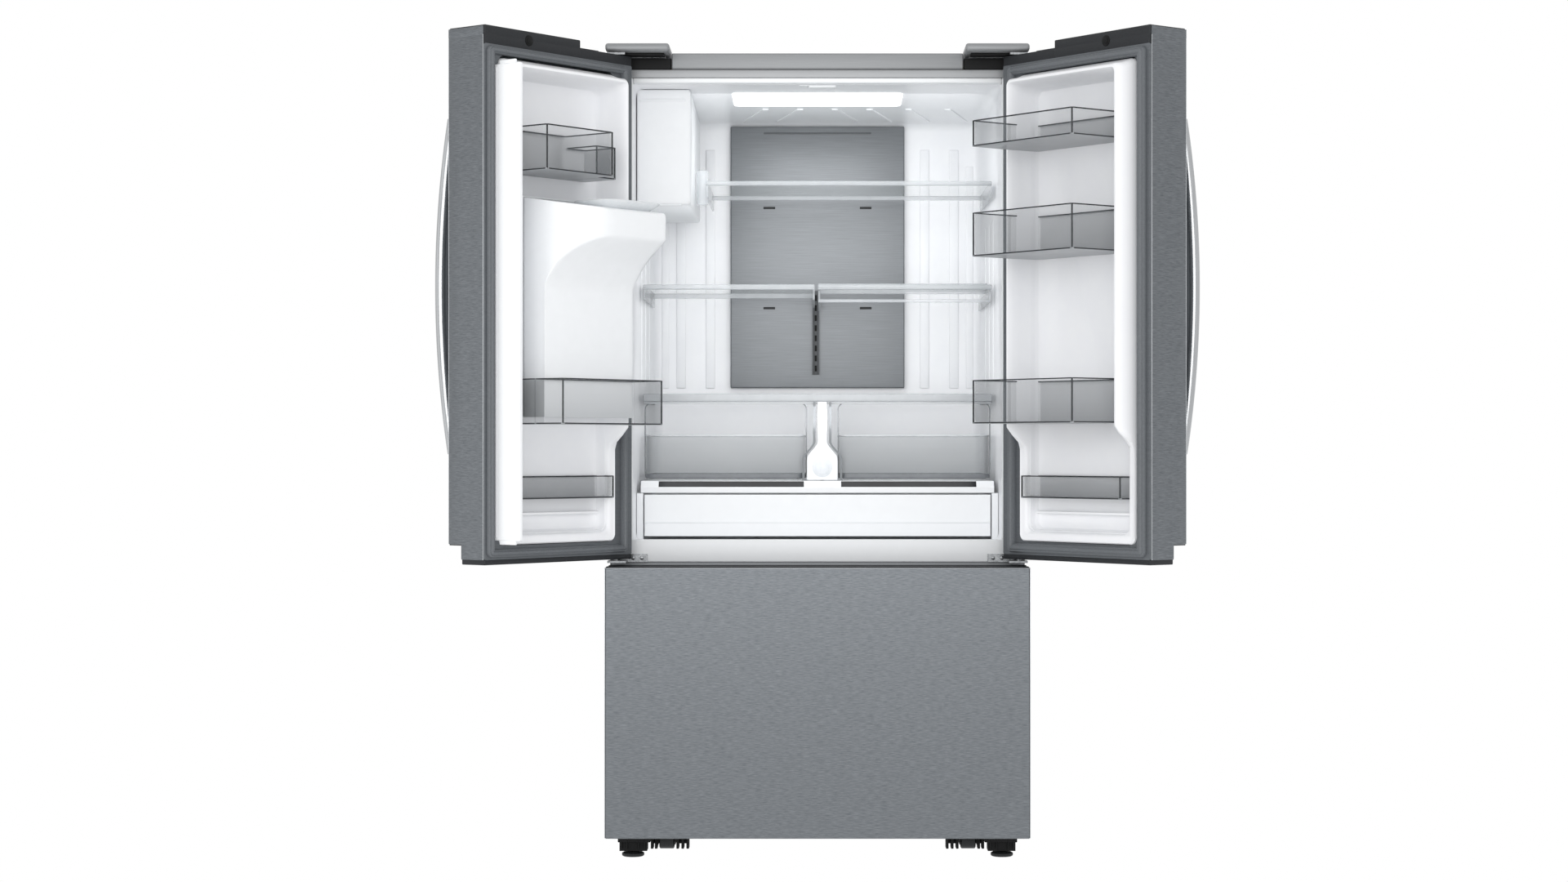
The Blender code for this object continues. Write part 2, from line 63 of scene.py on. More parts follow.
# The studio is white all round, which is what brushed steel needs to look an even grey. It lights
# a little less than it shows. Soft lights stand in front and to the left, small ones in the cabinet.
world = bpy.data.worlds.new("white_studio")
bpy.context.scene.world = world
world.use_nodes = True
world.node_tree.nodes["Background"].inputs["Color"].default_value = (1.0, 1.0, 1.0, 1.0)
seen = world.node_tree.nodes.new("ShaderNodeLightPath")
strength = world.node_tree.nodes.new("ShaderNodeMapRange")
strength.inputs["To Min"].default_value = 0.88
strength.inputs["To Max"].default_value = 1.0
world.node_tree.links.new(seen.outputs["Is Camera Ray"], strength.inputs["Value"])
world.node_tree.links.new(strength.outputs["Result"],
                          world.node_tree.nodes["Background"].inputs["Strength"])
bpy.context.scene.view_settings.view_transform = "Standard"


def soft_light(name, place, aim, size, power):
    """A rectangular light at a place, turned to face a point."""
    data = bpy.data.lights.new(name, "AREA")
    data.shape = "RECTANGLE"
    data.size, data.size_y = size
    data.energy = power
    light = bpy.data.objects.new(name, data)
    bpy.context.scene.collection.objects.link(light)
    light.location = place
    direction = np.array(aim) - np.array(place)
    flat = math.hypot(direction[0], direction[1])
    light.rotation_euler = (math.atan2(flat, -direction[2]), 0.0, math.atan2(-direction[0], direction[1]))


soft_light("front_softbox", (-0.4, front_y - 4.0, 1.5), (0.0, 0.3, 1.0), (3.5, 2.0), 44.0)
soft_light("left_softbox", (-4.0, front_y - 1.3, 1.2), (-0.6, front_y, 1.1), (2.0, 2.5), 4.5)
soft_light("cabinet_lamp_light", (0.0, front_y + 0.34, 1.650), (0.0, front_y + 0.36, 1.0), (0.34, 0.14),
           0.50)
soft_light("inside_fill", (0.0, front_y + 0.20, 1.30), (0.0, front_y + 0.75, 1.20), (0.70, 0.80), 1.25)
soft_light("crisper_fill", (0.0, front_y + 0.262, 0.955), (0.0, front_y + 0.60, 0.90), (0.72, 0.05), 0.22)

# The floor is a backlit sheet of white acrylic under the feet, as white as the studio round it, so
# that no edge shows. It only glows: its own colour is black, so it takes no shadow.
floor_mesh = bpy.data.meshes.new("studio_floor")
floor_mesh.from_pydata([(-30, -30, -0.0005), (30, -30, -0.0005), (30, 30, -0.0005), (-30, 30, -0.0005)], [],
                       [(0, 1, 2, 3)])
studio_floor = bpy.data.objects.new("studio_floor", floor_mesh)
bpy.context.scene.collection.objects.link(studio_floor)
backlit = bpy.data.materials.new("backlit_white_acrylic")
backlit.use_nodes = True
backlit.node_tree.nodes["Principled BSDF"].inputs["Base Color"].default_value = (0.0, 0.0, 0.0, 1.0)
backlit.node_tree.nodes["Principled BSDF"].inputs["Specular IOR Level"].default_value = 0.0
backlit.node_tree.nodes["Principled BSDF"].inputs["Emission Color"].default_value = (1.0, 1.0, 1.0, 1.0)
backlit.node_tree.nodes["Principled BSDF"].inputs["Emission Strength"].default_value = 1.0
floor_mesh.materials.append(backlit)


# Cabinet wrapper, base and rear cover: steel sheet, folded and powder coated in a fine pebbled
# grey. The coat's orange-peel texture is about 1.5 mm across, drawn at 3 mm so that it shows.
def colour(code):
    """An sRGB hex value turned to linear light."""
    value = np.array([int(code[i:i + 2], 16) for i in (1, 3, 5)]) / 255.0
    linear = np.where(value <= 0.04045, value / 12.92, ((value + 0.055) / 1.055) ** 2.4)
    return (*linear.tolist(), 1.0)


def add_node(material, kind, settings=(), links=()):
    """Adds one node; settings are its properties or socket values, links its inputs' sources."""
    made = material.node_tree.nodes.new(kind)
    for key, value in dict(settings).items():
        if hasattr(made, str(key)):
            setattr(made, key, value)
        else:
            made.inputs[key].default_value = value
    for key, source in dict(links).items():
        material.node_tree.links.new(source, made.inputs[key])
    return made


def surface_finish(name, light, dark, roughness, grain, metallic=0.0, relief=0.0002, spread=0.08,
                   alpha=1.0, bands=3.0, coat=0.0, glow=0.0):
    """A finish from two near colours mixed by a noise whose size is given in millimetres along
    X, Y and Z; the same noise moves the roughness by the spread and lifts the relief in metres."""
    made = bpy.data.materials.new(name)
    made.use_nodes = True
    shader = made.node_tree.nodes["Principled BSDF"]
    place = add_node(made, "ShaderNodeTexCoord")
    scale = add_node(made, "ShaderNodeMapping", {"Scale": tuple(1000.0 / size for size in grain)},
                     {"Vector": place.outputs["Object"]})
    noise = add_node(made, "ShaderNodeTexNoise", {"Scale": 1.0, "Detail": bands, "Roughness": 0.6},
                     {"Vector": scale.outputs["Vector"]})
    tint = add_node(made, "ShaderNodeMix", {"data_type": "RGBA"})
    tint.inputs[6].default_value = colour(dark)
    tint.inputs[7].default_value = colour(light)
    contrast = add_node(made, "ShaderNodeMapRange", {"From Min": 0.3, "From Max": 0.7},
                        {"Value": noise.outputs["Fac"]})
    made.node_tree.links.new(contrast.outputs["Result"], tint.inputs["Factor"])
    made.node_tree.links.new(tint.outputs[2], shader.inputs["Base Color"])
    polish = add_node(made, "ShaderNodeMapRange", {"To Min": roughness - spread / 2,
                                                   "To Max": roughness + spread / 2},
                      {"Value": noise.outputs["Fac"]})
    made.node_tree.links.new(polish.outputs["Result"], shader.inputs["Roughness"])
    bump = add_node(made, "ShaderNodeBump", {"Distance": relief, "Strength": 0.6},
                    {"Height": noise.outputs["Fac"]})
    made.node_tree.links.new(bump.outputs["Normal"], shader.inputs["Normal"])
    shader.inputs["Metallic"].default_value = metallic
    shader.inputs["Alpha"].default_value = alpha
    shader.inputs["Coat Weight"].default_value = coat
    if glow:
        shader.inputs["Emission Color"].default_value = colour(light)
        shader.inputs["Emission Strength"].default_value = glow
    return made


powder_coat = surface_finish("powder_coated_steel", "#8C8F92", "#84878A", 0.5, (3, 3, 3), 0.2)
black_plastic = surface_finish("moulded_black_polypropylene", "#0E0F10", "#0A0B0C", 0.6, (2, 2, 2))
grey_plastic = surface_finish("moulded_grey_abs", "#8F9194", "#87898C", 0.5, (2, 2, 2))
zinc_plate = surface_finish("bright_zinc_plated_steel", "#8F9193", "#6E7072", 0.28, (8, 8, 8), 1.0)
nylon = surface_finish("moulded_black_nylon", "#26282A", "#1C1E1F", 0.45, (2, 2, 2))


for black in (black_plastic, nylon):
    black.node_tree.nodes["Principled BSDF"].inputs["Specular IOR Level"].default_value = 0.25


def dress(node, material):
    """Gives a CAD node's own mesh a better material."""
    mesh = frame["nodes"][node].data
    mesh.materials.clear()
    mesh.materials.append(material)


for node, material in (("cabinet_shell", powder_coat), ("base_plate", powder_coat),
                       ("machine_cover", black_plastic), ("compressor", black_plastic),
                       ("condenser_fan", black_plastic), ("dispenser_lever", grey_plastic),
                       ("freezer_slide_left", zinc_plate), ("freezer_slide_right", zinc_plate),
                       ("top_hinge_left", zinc_plate), ("top_hinge_right", zinc_plate),
                       ("centre_hinge_left", zinc_plate), ("centre_hinge_right", zinc_plate)):
    dress(node, material)
dress("condenser_coil", surface_finish("drawn_copper_tube", "#B87A55", "#A86C48", 0.35, (6, 6, 40), 1.0))
dress("cabinet_foam", surface_finish("urethane_foam", "#E8DDB0", "#D8CB98", 0.9, (2, 2, 2), relief=0.001))


# Front collar of the cabinet: moulded white sill and side strips that the door seals close on,
# with a grey steel rail screwed across the top between the hinges.
def rounded_ring(wide, high, radius, corner=5):
    """Points round a rectangle with quarter-circle corners, anticlockwise from the right side."""
    radius = min(radius, (wide[1] - wide[0]) / 2.001, (high[1] - high[0]) / 2.001)
    turn = np.linspace(0, math.pi / 2, corner)
    middles = ((wide[1] - radius, high[1] - radius), (wide[0] + radius, high[1] - radius),
               (wide[0] + radius, high[0] + radius), (wide[1] - radius, high[0] + radius))
    arcs = [np.stack([a + radius * np.cos(turn + k * math.pi / 2),
                      b + radius * np.sin(turn + k * math.pi / 2)], axis=1)
            for k, (a, b) in enumerate(middles)]
    return np.concatenate(arcs)


def rings(wide, high, radius, steps, axes="xyz", corner=5):
    """Stacks rounded rectangles: each step is (inset, distance along the third axis). axes says
    which of x, y and z the width, height and stacking distance run along."""
    stack = []
    for inset, along in steps:
        ring = rounded_ring((wide[0] + inset, wide[1] - inset), (high[0] + inset, high[1] - inset),
                            max(radius - inset, 0.0003), corner)
        stack.append(np.column_stack([ring, np.full(len(ring), along)]))
    grid = np.array(stack)
    return grid[:, :, [axes.index(letter) for letter in "xyz"]]


def edge_steps(span, edge, count=4):
    """Steps for a block along one axis, its two ends rounded over by a quarter circle."""
    turn = np.linspace(0, math.pi / 2, count)
    inset = edge * (1 - np.sin(turn))
    rise = edge * (1 - np.cos(turn))
    first = list(zip(inset, span[0] + rise))
    return first + [(i, span[0] + span[1] - a) for i, a in reversed(first)]


def block(x, y, z, edge=0.002, along="z"):
    """A block whose twelve edges are rounded alike."""
    spans = {"x": x, "y": y, "z": z}
    others = [letter for letter in "xyz" if letter != along]
    return rings(spans[others[0]], spans[others[1]], edge, edge_steps(spans[along], edge),
                 others[0] + others[1] + along)


def rod(centre, radius, span, along="z", sides=24, edge=0.0008):
    """A turned rod through a centre, its two rims rounded over."""
    turn = np.linspace(0, 2 * math.pi, sides, endpoint=False)
    grid = np.array([np.column_stack([(radius - i) * np.cos(turn), (radius - i) * np.sin(turn),
                                      np.full(sides, a)]) for i, a in edge_steps(span, edge, 3)])
    others = [letter for letter in "xyz" if letter != along]
    order = others[0] + others[1] + along
    offset = np.array([0.0 if letter == along else c for letter, c in zip("xyz", centre)])
    return grid[:, :, [order.index(letter) for letter in "xyz"]] + offset


def piece(name, grids, material, body, stands_for=(), loop=False):
    """Makes one mesh of closed surfaces. A grid is rings of points; its ends are capped, or joined
    when it loops. A grid whose enclosed volume comes out negative is turned the right way round."""
    points, faces, base = [], [], 0
    for grid in grids:
        count, around = grid.shape[:2]
        index = np.arange(count * around).reshape(count, around)
        following = np.roll(index, -1, axis=1)
        if loop:
            below, below_next = np.roll(index, -1, axis=0), np.roll(following, -1, axis=0)
            quads = np.stack([index, following, below_next, below], axis=-1).reshape(-1, 4)
            caps = []
        else:
            quads = np.stack([index[:-1], following[:-1], following[1:], index[1:]], axis=-1).reshape(-1, 4)
            caps = [index[0][::-1], index[-1]]
        flat = grid.reshape(-1, 3)
        a, b, c, d = (flat[quads[:, k]] for k in range(4))
        volume = np.einsum("ij,ij->i", a, np.cross(b, c) + np.cross(c, d)).sum()
        for cap in caps:
            p = flat[cap]
            volume += np.einsum("ij,ij->i", np.broadcast_to(p[0], p[1:-1].shape),
                                np.cross(p[1:-1], p[2:])).sum()
        polygons = [list(f) for f in quads.tolist()] + [cap.tolist() for cap in caps]
        if volume < 0:
            polygons = [f[::-1] for f in polygons]
        faces += [[i + base for i in f] for f in polygons]
        points.append(flat)
        base += len(flat)
    mesh = bpy.data.meshes.new(name)
    mesh.from_pydata(np.concatenate(points).tolist(), [], faces)
    mesh.materials.append(material)
    made = bpy.data.objects.new(name, mesh)
    bpy.context.scene.collection.objects.link(made)
    mesh.shade_smooth()
    mesh.set_sharp_from_angle(angle=math.radians(35))
    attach(made, body)
    if stands_for:
        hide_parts(*stands_for)
    return made


def deep(*distances):
    """Depths behind the drawer's front plane as a span in the frame's Y."""
    return tuple(front_y + d for d in distances)


def on_side(side, near, far):
    """An X span on the left (-1) or right (1) of the middle, from two distances off it."""
    return tuple(sorted((side * near, side * far)))


def ease(part):
    """A smooth step from 0 to 1: three times the square less twice the cube."""
    return part * part * (3 - 2 * part)


satin_white = surface_finish("moulded_white_abs", "#F6F8FA", "#F4F6F8", 0.32, (25, 25, 25), relief=0.00002,
                             spread=0.04)
rail_grey = surface_finish("grey_prepainted_steel", "#929496", "#8C8E90", 0.4, (60, 60, 2), 0.3,
                           relief=0.00005)
flange_grey = surface_finish("light_grey_seal_flange", "#ABADAF", "#A5A7A9", 0.4, (60, 60, 4), 0.2,
                             relief=0.00005)

collar_y = deep(0.1155, 0.1360)
piece("front_collar", [block((-0.448, 0.448), collar_y, (0.640, 0.6885)),
                       block((-0.448, -0.4007), collar_y, (0.6885, 1.6906)),
                       block((0.4007, 0.448), collar_y, (0.6885, 1.6906)),
                       block((-0.4007, 0.4007), collar_y, (1.6795, 1.6906), 0.003)],
      satin_white, "root", ["front_frame"])
piece("freezer_collar", [block((-0.448, 0.448), collar_y, (0.602, 0.6395)),
                         block((-0.448, -0.403), collar_y, (0.060, 0.602)),
                         block((0.403, 0.448), collar_y, (0.060, 0.602)),
                         block((-0.403, 0.403), collar_y, (0.060, 0.098))], powder_coat, "root")
piece("top_flange", [block((-0.448, 0.448), collar_y, (1.691, 1.7085), 0.0015)], flange_grey, "root")
piece("top_rail", [block((-0.3165, 0.3165), deep(0.1095, 0.1362), (1.7090, 1.7434), 0.0035, "x")],
      rail_grey, "root")

# Fresh food liner: one sheet of white polystyrene drawn into a mould, its walls leaning in a
# little towards the back so that it leaves the mould, with raised ribs that stiffen them.
LINER_FRONT_HALF, LINER_BACK_HALF = 0.4007, 0.3885
LINER_Y = deep(0.1366, 0.7420)
CEILING = (1.679, 1.663)
LINER_FLOOR = 0.683


def wall_x(y):
    """Half the liner's inside width at a depth in the frame."""
    part = (y - LINER_Y[0]) / (LINER_Y[1] - LINER_Y[0])
    return LINER_FRONT_HALF + part * (LINER_BACK_HALF - LINER_FRONT_HALF)


def ceiling_z(y):
    """The height of the liner's ceiling at a depth in the frame."""
    return CEILING[0] + (y - LINER_Y[0]) / (LINER_Y[1] - LINER_Y[0]) * (CEILING[1] - CEILING[0])


def liner_section(y, grow, radius):
    """The liner's rounded opening at one depth, grown outwards by its wall."""
    half = wall_x(y) + grow
    ring = rounded_ring((-half, half), (LINER_FLOOR - grow, ceiling_z(y) + grow), radius, 8)
    return np.column_stack([ring[:, 0], np.full(len(ring), y), ring[:, 1]])


inside = np.linspace(LINER_Y[0], LINER_Y[1] - 0.02, 8)
turn = np.linspace(0, math.pi / 2, 5)
shell_rows = [liner_section(LINER_Y[1] + 0.0015, 0.0018, 0.022), liner_section(LINER_Y[0], 0.0018, 0.003)]
shell_rows += [liner_section(y, 0.0, np.interp(y, inside[:2], (0.002, 0.022))) for y in inside]
shell_rows += [liner_section(LINER_Y[1] - 0.02 + 0.02 * math.sin(t), -0.02 * (1 - math.cos(t)), 0.022)
               for t in turn[1:]]
drawn_white = surface_finish("drawn_white_polystyrene", "#F6F7F9", "#F4F5F8", 0.30, (40, 40, 40),
                             relief=0.00002, spread=0.04)
piece("fresh_food_liner", [np.array(shell_rows)], drawn_white, "root", ["fridge_liner"])

wall_ribs = []
for side in (-1, 1):
    for depth in (0.36, 0.47, 0.58):
        y = front_y + depth
        x = side * (wall_x(y + 0.01) - 0.0010)
        wall_ribs.append(block(tuple(sorted((x, x + side * 0.004))), (y - 0.011, y + 0.011), (1.03, 1.40),
                               0.0018, "z"))
    for distance in (0.245, 0.315):
        wall_ribs.append(block(on_side(side, distance, distance + 0.022),
                               deep(0.7385, 0.7425), (1.03, 1.60), 0.0018, "z"))
    wall_ribs.append(block(on_side(side, 0.355, 0.372), deep(0.7385, 0.7425), (1.03, 1.56),
                           0.0018, "z"))
for x in (-0.12, -0.04, 0.04, 0.12, 0.21, 0.30):
    steps = np.linspace(0.50, 0.70, 5) + front_y
    row = [np.column_stack([rounded_ring((x - 0.007 + 0.25 * (y - steps[0]) * np.sign(x),
                                          x + 0.007 + 0.25 * (y - steps[0]) * np.sign(x)),
                                         (ceiling_z(y) - 0.0025, ceiling_z(y) + 0.001), 0.0015),
                            np.full(20, y)])
           for y in steps]
    wall_ribs.append(np.array(row)[:, :, [0, 2, 1]])
piece("liner_ribs", wall_ribs, drawn_white, "root")
dress("freezer_liner", drawn_white)

# Latch guide for the mullion flap: a small white moulding screwed under the ceiling's front edge.
piece("flap_guide", [block((-0.040, -0.018), deep(0.137, 0.168), (1.6764, 1.6788), 0.001, "x"),
                     block((-0.019, 0.040), deep(0.137, 0.168), (1.6725, 1.6788), 0.0022, "x")],
      satin_white, "root")

# Air duct panel on the rear wall: a brushed aluminium sheet over a moulded duct, cold air coming
# out of a long slot at its top and four small louvres.
brushed_panel = surface_finish("brushed_aluminium_sheet", "#808386", "#74777A", 0.38, (90, 90, 1.6), 0.6,
                               relief=0.00008)
panel_y = deep(0.7225, 0.7415)
piece("duct_panel", [block((-0.2075, 0.2075), panel_y, (1.0305, 1.6545), 0.003)], brushed_panel, "root",
      ["rear_duct_panel"])
# The slot and louvres are flat blocks on the panel, dark grey and black: painted shade inside the openings.
# The same grey colours the shelf track below.
louvre_shade_black = surface_finish("painted_louvre_shade", "#202224", "#151617", 0.6, (2, 2, 2))
track_grey_and_slot_shade = surface_finish("grey_track_and_slot_shade", "#5C5F62", "#515457", 0.5, (2, 2, 2))
piece("duct_slot_shade", [block((-0.128, 0.128), deep(0.7215, 0.7235), (1.636, 1.6405), 0.0008, "x")], track_grey_and_slot_shade,
      "root")
piece("duct_louvre_shade", [block((side * 0.115 - 0.014, side * 0.115 + 0.014), deep(0.7215, 0.7235),
                             (z - 0.0028, z + 0.0028), 0.0008, "x")
                       for side in (-1, 1) for z in (1.460, 1.221)], louvre_shade_black, "root")

# Shelf track: a pressed steel strip with slots, screwed to the rear wall at the centre. The half
# shelves' brackets hook into it.
piece("shelf_track", [block((-0.012, -0.0095), deep(0.708, 0.7222), (1.062, 1.262), 0.0006),
                      block((0.0015, 0.004), deep(0.708, 0.7222), (1.062, 1.262), 0.0006),
                      block((-0.012, 0.004), deep(0.7185, 0.7222), (1.062, 1.262), 0.0006)], track_grey_and_slot_shade,
      "root")
# The slots are black blocks on the strip's face: painted shade inside the holes.
piece("shelf_track_slot_shade", [block((-0.0065, -0.0015), deep(0.7178, 0.7195), (z, z + 0.014), 0.0004)
                            for z in np.arange(1.07, 1.24, 0.024)], black_plastic, "root")

# Ceiling lamp: a frosted polycarbonate lens over a row of white diodes, so it glows evenly.
frosted = surface_finish("frosted_polycarbonate", "#FFFFFF", "#FBFCFD", 0.4, (6, 6, 6), glow=1.1)
lamp_rows = []
for along, inset in ((0.0, 0.004), (0.001, 0.0005), (0.002, 0.0), (0.0035, 0.002), (0.004, 0.006)):
    ring = rounded_ring((-0.19 + inset, 0.19 - inset), deep(0.26 + inset, 0.44 - inset), 0.012, 6)
    lamp_rows.append(np.column_stack([ring, ceiling_z(ring[:, 1]) - along]))
piece("lamp_lens", [np.array(lamp_rows)], frosted, "root", ["ceiling_lamp"])

# Ice maker: a white moulded housing in the liner's left top corner, with a rounded front cover
# and a skirt below round the ice outlet.
ice_rows = []
for inset, depth in edge_steps((0.200, 0.700), 0.005, 5):
    y = front_y + depth
    ring = rounded_ring((-(wall_x(y) - 0.002) + inset, -0.279 - inset),
                        (1.4225 + inset, ceiling_z(y) - 0.0008 - inset), 0.007, 6)
    ice_rows.append(np.column_stack([ring[:, 0], np.full(len(ring), y), ring[:, 1]]))
piece("ice_maker_cover", [np.array(ice_rows)], satin_white, "root", ["ice_maker_housing"])
piece("ice_maker_front_lip", [block((-0.392, -0.290), deep(0.1965, 0.2005), (1.650, 1.6545), 0.0015, "x"),
                              block((-0.372, -0.300), deep(0.200, 0.230), (1.4205, 1.4235), 0.0012, "x")],
      satin_white, "root")
clear_filter = surface_finish("clear_styrene", "#E9EDF0", "#E1E6EA", 0.12, (20, 20, 20), alpha=0.35)
piece("filter_cover", [rod((-0.262, front_y + 0.42, 0.0), 0.014, (1.440, 1.520), "z", 24, 0.006)],
      clear_filter, "root")

# Shelves: tempered glass panes in a clear styrene trim, thick along the front and thin at the sides.
# Glass this thin is nearly colourless, with a faint green along its edge.
pane_glass = surface_finish("tempered_glass", "#DDE9E6", "#D6E4E0", 0.04, (80, 80, 80), alpha=0.10,
                            relief=0.0)
trim_clear = surface_finish("clear_styrene_trim", "#CDD1D4", "#C5C9CD", 0.15, (30, 30, 30), alpha=0.40,
                            relief=0.0)
trim_edge = surface_finish("frosted_trim_edge", "#A4A8AC", "#9A9EA2", 0.3, (30, 30, 30), relief=0.0)


def shelf(name, body, stands_for, x, depths, z, drop=0.024):
    """A pane with its trim: x, y and z spans, and how far the side rails hang below it."""
    y = deep(*depths)
    thick = 0.0045
    piece(f"{name}_pane", [block((x[0] + 0.004, x[1] - 0.004), (y[0] + 0.006, y[1] - 0.003),
                                 (z[1] - thick, z[1] - 0.0008), 0.001)], pane_glass, body)
    rails = [block((x[0], x[1]), (y[0], y[0] + 0.011), z, 0.003, "x"),
             block((x[0], x[1]), (y[1] - 0.010, y[1]), z, 0.002, "x")]
    rails += [block(span, (y[0] + 0.008, y[1]), (z[1] - drop, z[1]), 0.0015, "y")
              for span in ((x[0], x[0] + 0.005), (x[1] - 0.005, x[1]))]
    piece(f"{name}_trim", rails, trim_clear, body, stands_for)
    piece(f"{name}_front_line", [block((x[0] + 0.002, x[1] - 0.002), (y[0] - 0.0006, y[0] + 0.001),
                                       (z[0] + 0.0008, z[0] + 0.0024), 0.0004, "x")], trim_edge, body)


shelf("upper_shelf", "root", ["top_shelf"], (-0.249, wall_x(front_y + 0.66) - 0.001), (0.275, 0.658),
      (1.472, 1.482), 0.036)
shelf("half_shelf_left", "root", ["left_shelf"], (-wall_x(front_y + 0.66) + 0.001, -0.006), (0.275, 0.658),
      (1.240, 1.252), 0.034)
shelf("half_shelf_right_back", "root", ["right_shelf_rear"], (0.001, 0.3885), (0.4505, 0.650),
      (1.2548, 1.2642), 0.012)
shelf("slide_in_shelf", "slide_in_shelf", ["right_shelf_slide"], (0.001, 0.3885), (0.2755, 0.4675),
      (1.2402, 1.2518), 0.0115)
piece("half_shelf_brackets", [block((x, x + 0.005), deep(0.290, 0.705), (1.2125, 1.2385), 0.0012, "y")
                              for x in (0.0015, 0.3825)]
      + [block((0.0015, 0.3875), deep(0.290, 0.300), (1.2125, 1.2195), 0.002, "x")], trim_clear, "root")

# Crisper cover: a full-width glass shelf whose white frame carries the divider between the two
# crispers. The divider's front is a slim post that widens at its foot round a button.
shelf("crisper_lid", "root", ["crisper_cover"], (-0.3885, 0.3885), (0.2705, 0.658), (0.991, 1.008), 0.020)
DIVIDER_X = 0.0107
heights = np.concatenate([np.linspace(0.8165, 0.866, 8), np.linspace(0.866, 0.905, 14)[1:],
                          np.linspace(0.905, 0.9895, 4)[1:]])
blend = np.clip((heights - 0.862) / 0.040, 0, 1)
half_widths = 0.0345 + (0.0105 - 0.0345) * ease(blend)
divider = np.array([np.column_stack([rounded_ring((DIVIDER_X - w, DIVIDER_X + w), deep(0.262, 0.290),
                                                  0.004),
                                     np.full(20, z)]) for w, z in zip(half_widths, heights)])
piece("crisper_divider", [divider, block((0.0062, 0.0152), deep(0.288, 0.655), (0.8165, 0.990), 0.002)],
      satin_white, "root")
frosted_button = surface_finish("frosted_white_acetal", "#E6E9EC", "#DDE1E5", 0.35, (9, 9, 9))
piece("crisper_divider_button", [rod((DIVIDER_X, 0.0, 0.845), 0.022, deep(0.2595, 0.2640), "y", 40, 0.0015),
                                 rod((DIVIDER_X, 0.0, 0.845), 0.0165, deep(0.2583, 0.2600), "y", 40,
                                     0.0006)],
      frosted_button, "root")

# Each crisper's front inner corner has a tinted rail beside the divider, which slides with it.
rail_rows = [np.array([[(DIVIDER_X + side * (w + 0.0045), front_y + y, z),
                        (DIVIDER_X + side * (w + 0.0100), front_y + y, z)]
                       for w, z in zip(half_widths, heights)]) for side in (-1, 1) for y in (0.266, 0.281)]
flanks = [np.concatenate([near, far[:, ::-1]], axis=1) for near, far in (rail_rows[:2], rail_rows[2:])]
rail_tint = surface_finish("grey_tinted_rail", "#7C8084", "#73777B", 0.25, (30, 30, 30), alpha=0.9,
                           relief=0.0)
for word, flank in zip(("left", "right"), flanks):
    piece(f"{word}_crisper_front_rail", [flank], rail_tint, f"{word}_crisper")
piece("crisper_lid_band", [block((-0.387, 0.387), deep(0.2697, 0.2709), (0.9925, 1.0065), 0.0005, "x"),
                           block((-0.387, 0.387), deep(0.2720, 0.2760), (0.9855, 0.9895), 0.0008, "x")],
      surface_finish("clear_grey_styrene", "#B9BCBF", "#B1B4B7", 0.2, (30, 30, 30), alpha=0.85, relief=0.0),
      "root")

# Crispers: clear polystyrene drawers with a rolled rim; smoky where the walls are seen edge on,
# and that shade is painted in grey round their foot and front.
clear_wall = surface_finish("clear_polystyrene", "#DCE1E4", "#D2D8DC", 0.10, (60, 60, 60), alpha=0.11,
                            relief=0.0)
smoke_wall = surface_finish("smoke_tinted_polystyrene", "#8A8F93", "#83888C", 0.10, (60, 60, 60),
                            alpha=0.115, relief=0.0)
# A dark colour for the bins' rim lines and uprights: the edges' shade painted on, over the smoke tint.
smoke_and_painted_edge_shade = surface_finish("smoke_tint_and_painted_edge_shade", "#34373A", "#2B2E31", 0.20, (30, 30, 30), alpha=0.92,
                            relief=0.0)
# Grey for the crispers' foot band and front frame: painted shade where the clear walls are seen edge on.
edge_on_shade_grey = surface_finish("edge_on_painted_shade_grey", "#82868A", "#787C80", 0.25, (30, 30, 30), alpha=0.8,
                            relief=0.0)
smoke_floor = surface_finish("frosted_smoke_base", "#A2A5A8", "#979A9D", 0.35, (25, 25, 25), relief=0.0)


def tub(x, y, z, wall=0.003, radius=0.012):
    """An open box with rounded corners: out under the floor, up the wall, over the rim, down inside."""
    r = wall / 2
    steps = [(0.006, z[0]), (0.0012, z[0] + 0.0010), (0.0, z[0] + 0.005), (0.0, z[1] - r),
             (0.3 * wall, z[1]), (0.7 * wall, z[1]), (wall, z[1] - r), (wall, z[0] + wall + 0.005),
             (wall + 0.0015, z[0] + wall + 0.0015), (wall + 0.006, z[0] + wall)]
    return rings(x, y, radius, steps, "xyz", 6)


def rim_band(x, y, z, width=0.0036, radius=0.012):
    """A flat band round a tub at one height, a little proud of its wall on both sides."""
    steps = [(-0.0005, z[0]), (-0.0008, (z[0] + z[1]) / 2), (-0.0005, z[1]), (width, z[1]), (width, z[0])]
    return rings(x, y, radius, steps, "xyz", 6)


for name, x in (("left_crisper", (-0.384, -0.0255)), ("right_crisper", (0.047, 0.384))):
    y = deep(0.2755, 0.6495)
    piece(f"{name}_tub", [tub(x, y, (0.8205, 0.916), 0.0035, 0.02)], clear_wall, name,
          [f"crisper_{name.split('_')[0]}"])
    piece(f"{name}_rim", [rim_band(x, y, (0.9135, 0.9165), 0.006, 0.02)], trim_clear, name, loop=True)
    # A grey band round the foot: painted shade where the floor is seen edge on.
    piece(f"{name}_foot", [rim_band(x, y, (0.8203, 0.829), 0.0040, 0.02)], edge_on_shade_grey, name, loop=True)
    # A grey frame at the front: painted shade where the walls are seen edge on.
    frame_steps = [(0.0, y[0] + 0.016), (0.0, y[0] + 0.0135), (0.0028, y[0] + 0.0135),
                   (0.0028, y[0] + 0.016)]
    piece(f"{name}_edge_on_shade_frame", [rings((x[0] - 0.002, x[1] + 0.002), (0.8185, 0.9895), 0.016, frame_steps, "xzy",
                                  6)],
          edge_on_shade_grey, "root", loop=True)

